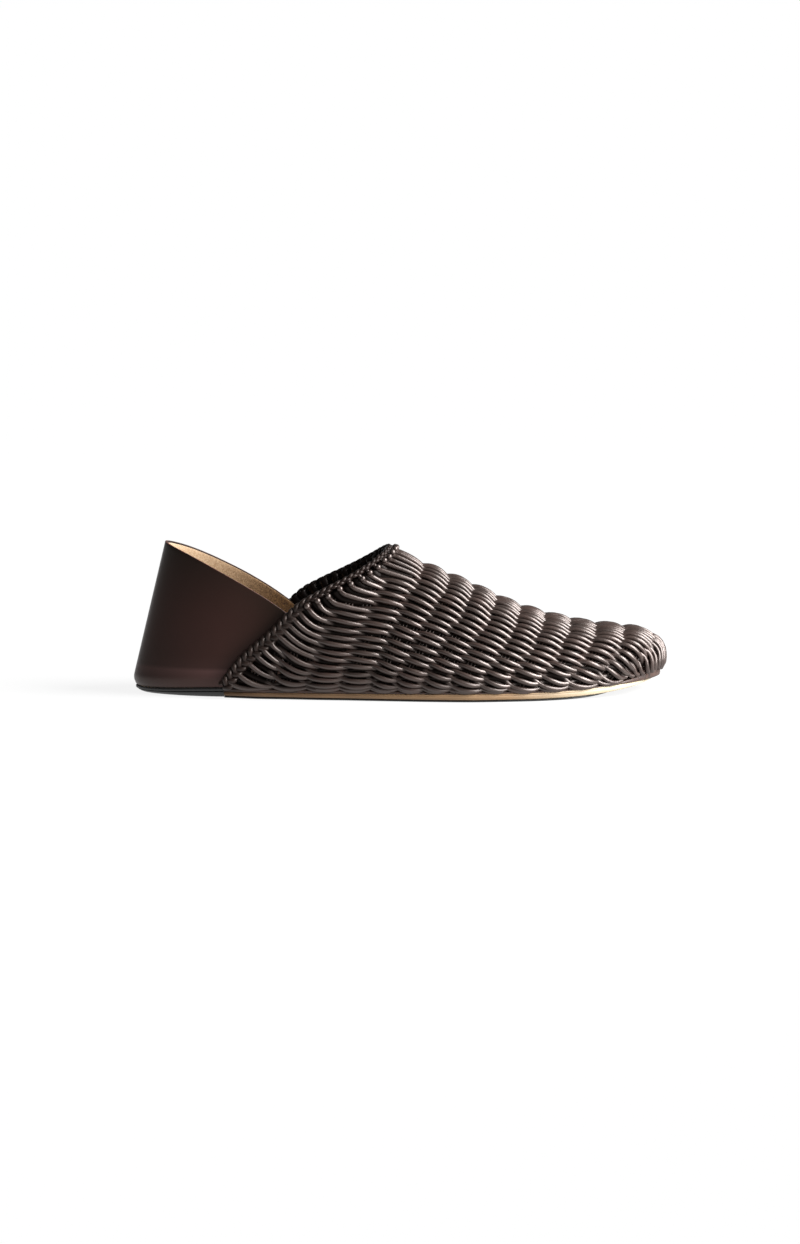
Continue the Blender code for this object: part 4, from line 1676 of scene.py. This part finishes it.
class MULE_OT_plait(bpy.types.Operator):
    """Plait the strands of the vamp's braided edge, and set the knuckles along it"""

    bl_idname = "mule.plait"
    bl_label = "Braided edge"

    def execute(self, context):
        self.add_plait(context.scene.mule_weave, context.scene.mule_colours)
        self.add_knuckles(context.scene.mule_weave, context.scene.mule_colours)
        return {"FINISHED"}

    def add_plait(self, settings, colours):
        """Plait round the opening, from one side of the sole to the other."""
        sizes = {
            "Radius": settings.plait_radius,
            "Swing": settings.plait_swing,
            "Lift": settings.plait_lift,
            "Period": settings.plait_period,
        }
        tree = strand_tree("plait_strands", PLAIT_STRANDS, sizes, plait_offset, rounded_radius, shaded_inside)
        material = cord_leather("plait_leather", colours, PLAIT_SHINE)
        add_strands("collar_plait", plait_line(), tree, sizes, material, "collar_braid")

    def add_knuckles(self, settings, colours):
        """Knuckles along the braid's front, one for each upper row."""
        sizes = {"Radius": settings.knuckle_radius, "Lift": settings.knuckle_lift}
        tree = strand_tree("knuckle_strands", 1, sizes, knuckle_offset, rounded_radius)
        material = cord_leather("knuckle_leather", colours, KNUCKLE_SHINE)
        add_strands("collar_knuckles", knuckle_lines(settings), tree, sizes, material, "collar_braid")


class MULE_OT_heel(bpy.types.Operator):
    """Wrap the heel leather and its suede lining round the heel"""

    bl_idname = "mule.heel"
    bl_label = "Heel leather"

    def execute(self, context):
        settings = context.scene.mule_heel
        colours = context.scene.mule_colours
        outside = quarter_sheet(1.0)
        materials = (heel_leather("heel_leather", colours), painted_edge("painted_edge", colours))
        self.add_wall("heel_leather", outside, settings.leather_wall, settings, materials, "quarter_leather")
        lower = quarter_sheet(settings.lining_drop)
        lining = lower - sheet_outward(lower) * (settings.leather_wall / MM + LINING_GAP)
        materials = (suede("suede", colours),)
        self.add_wall("heel_lining", lining, settings.lining_wall, settings, materials, "lining")
        return {"FINISHED"}

    def add_wall(self, name, sheet, thickness, settings, materials, slot):
        """Sheet with a thickness inward and rounded edges."""
        mesh = sheet_mesh(name, sheet)
        for material in materials:
            mesh.materials.append(material)
        piece = add_object(name, mesh)
        wall = piece.modifiers.new("wall", "SOLIDIFY")
        wall.thickness = thickness
        wall.offset = 1
        wall.material_offset_rim = len(materials) - 1
        rounding = piece.modifiers.new("rounding", "BEVEL")
        rounding.width = settings.edge_round
        rounding.segments = EDGE_SEGMENTS
        rounding.limit_method = "ANGLE"
        rounding.angle_limit = EDGE_ANGLE
        settle(piece)
        finish_piece(piece, "heel_quarter")


class MULE_OT_sole(bpy.types.Operator):
    """Stack the heel block, its rim, the tread and the natural leather sole with its dark top layer"""

    bl_idname = "mule.sole"
    bl_label = "Sole"

    def execute(self, context):
        colours = context.scene.mule_colours
        rubber = black_rubber("black_rubber", colours)
        leather = sole_leather("sole_leather", colours)
        rand = rand_leather("rand_leather", colours)
        breast = float(station_at(BREAST_X))
        heel = Span(SOLE_TIP, breast, (0.0, BREAST_X - BREAST_GAP / 2))
        front = Span(breast, 1 - SOLE_TIP, (BREAST_X + BREAST_GAP / 2, LAST_TIP + OUTSOLE_OUTSET))
        add_layer("heel_block", "heel_lift", rubber, heel, lift_edge, np.zeros_like, lift_high)
        add_layer("heel_lip", "heel_rim", rubber, heel, rim_edge, rim_low, sole_seat)
        add_layer("tread_layer", "tread", rubber, front, tread_edge, toe_spring, tread_high)
        add_layer(
            "leather_sole", "outsole", leather, front,
            leather_edge, leather_low, leather_high, GROOVED_EDGE,
        )
        # Dark layer on the sole: its own at the toe, partly painted shadow under the woven wall behind the
        # ball
        add_layer("sole_rand", "outsole", rand, front, rand_edge, leather_high, rand_high)
        return {"FINISHED"}


class MULE_OT_footbed(bpy.types.Operator):
    """Lay the footbed inside the shoe, dark as painted shade"""

    bl_idname = "mule.footbed"
    bl_label = "Footbed"

    def execute(self, context):
        # Painted shade: the footbed is dark as the inside of the shoe
        leather = rand_leather("footbed_leather", context.scene.mule_colours)
        whole = Span(SOLE_TIP, 1 - SOLE_TIP, (0.0, LAST_TIP))
        add_layer("footbed", "insole", leather, whole, footbed_edge, feather_z, footbed_high)
        return {"FINISHED"}


class MULE_PT_panel(bpy.types.Panel):
    """Sidebar panel with the shoe's pieces and their settings"""

    bl_idname = "MULE_PT_panel"
    bl_label = "Woven mule"
    bl_space_type = "VIEW_3D"
    bl_region_type = "UI"
    bl_category = "Woven mule"

    def draw(self, context):
        for operator in OPERATORS:
            self.layout.operator(operator.bl_idname)
        for pointer in SETTINGS:
            group = getattr(context.scene, pointer)
            box = self.layout.box()
            for key in group.bl_rna.properties.keys():
                if key not in ("rna_type", "name"):
                    box.prop(group, key)


OPERATORS = (
    MULE_OT_stage, MULE_OT_footbed, MULE_OT_sole, MULE_OT_heel, MULE_OT_ribs, MULE_OT_weave, MULE_OT_plait,
)
SETTINGS = {
    "mule_weave": MuleWeaveSettings,
    "mule_heel": MuleHeelSettings,
    "mule_colours": MuleColours,
    "mule_stage": MuleStageSettings,
}


def register():
    """Add the settings, operators and panel to Blender."""
    for pointer, group in SETTINGS.items():
        bpy.utils.register_class(group)
        setattr(bpy.types.Scene, pointer, bpy.props.PointerProperty(type=group))
    for operator in OPERATORS:
        bpy.utils.register_class(operator)
    bpy.utils.register_class(MULE_PT_panel)


def unregister():
    """Take them out again."""
    bpy.utils.unregister_class(MULE_PT_panel)
    for operator in reversed(OPERATORS):
        bpy.utils.unregister_class(operator)
    for pointer, group in SETTINGS.items():
        delattr(bpy.types.Scene, pointer)
        bpy.utils.unregister_class(group)


def main():
    """Register the add-on, then make the whole shoe and its stage."""
    register()
    bpy.ops.mule.stage()
    bpy.ops.mule.footbed()
    bpy.ops.mule.sole()
    bpy.ops.mule.heel()
    bpy.ops.mule.ribs()
    bpy.ops.mule.weave()
    bpy.ops.mule.plait()


if __name__ == "__main__":
    main()
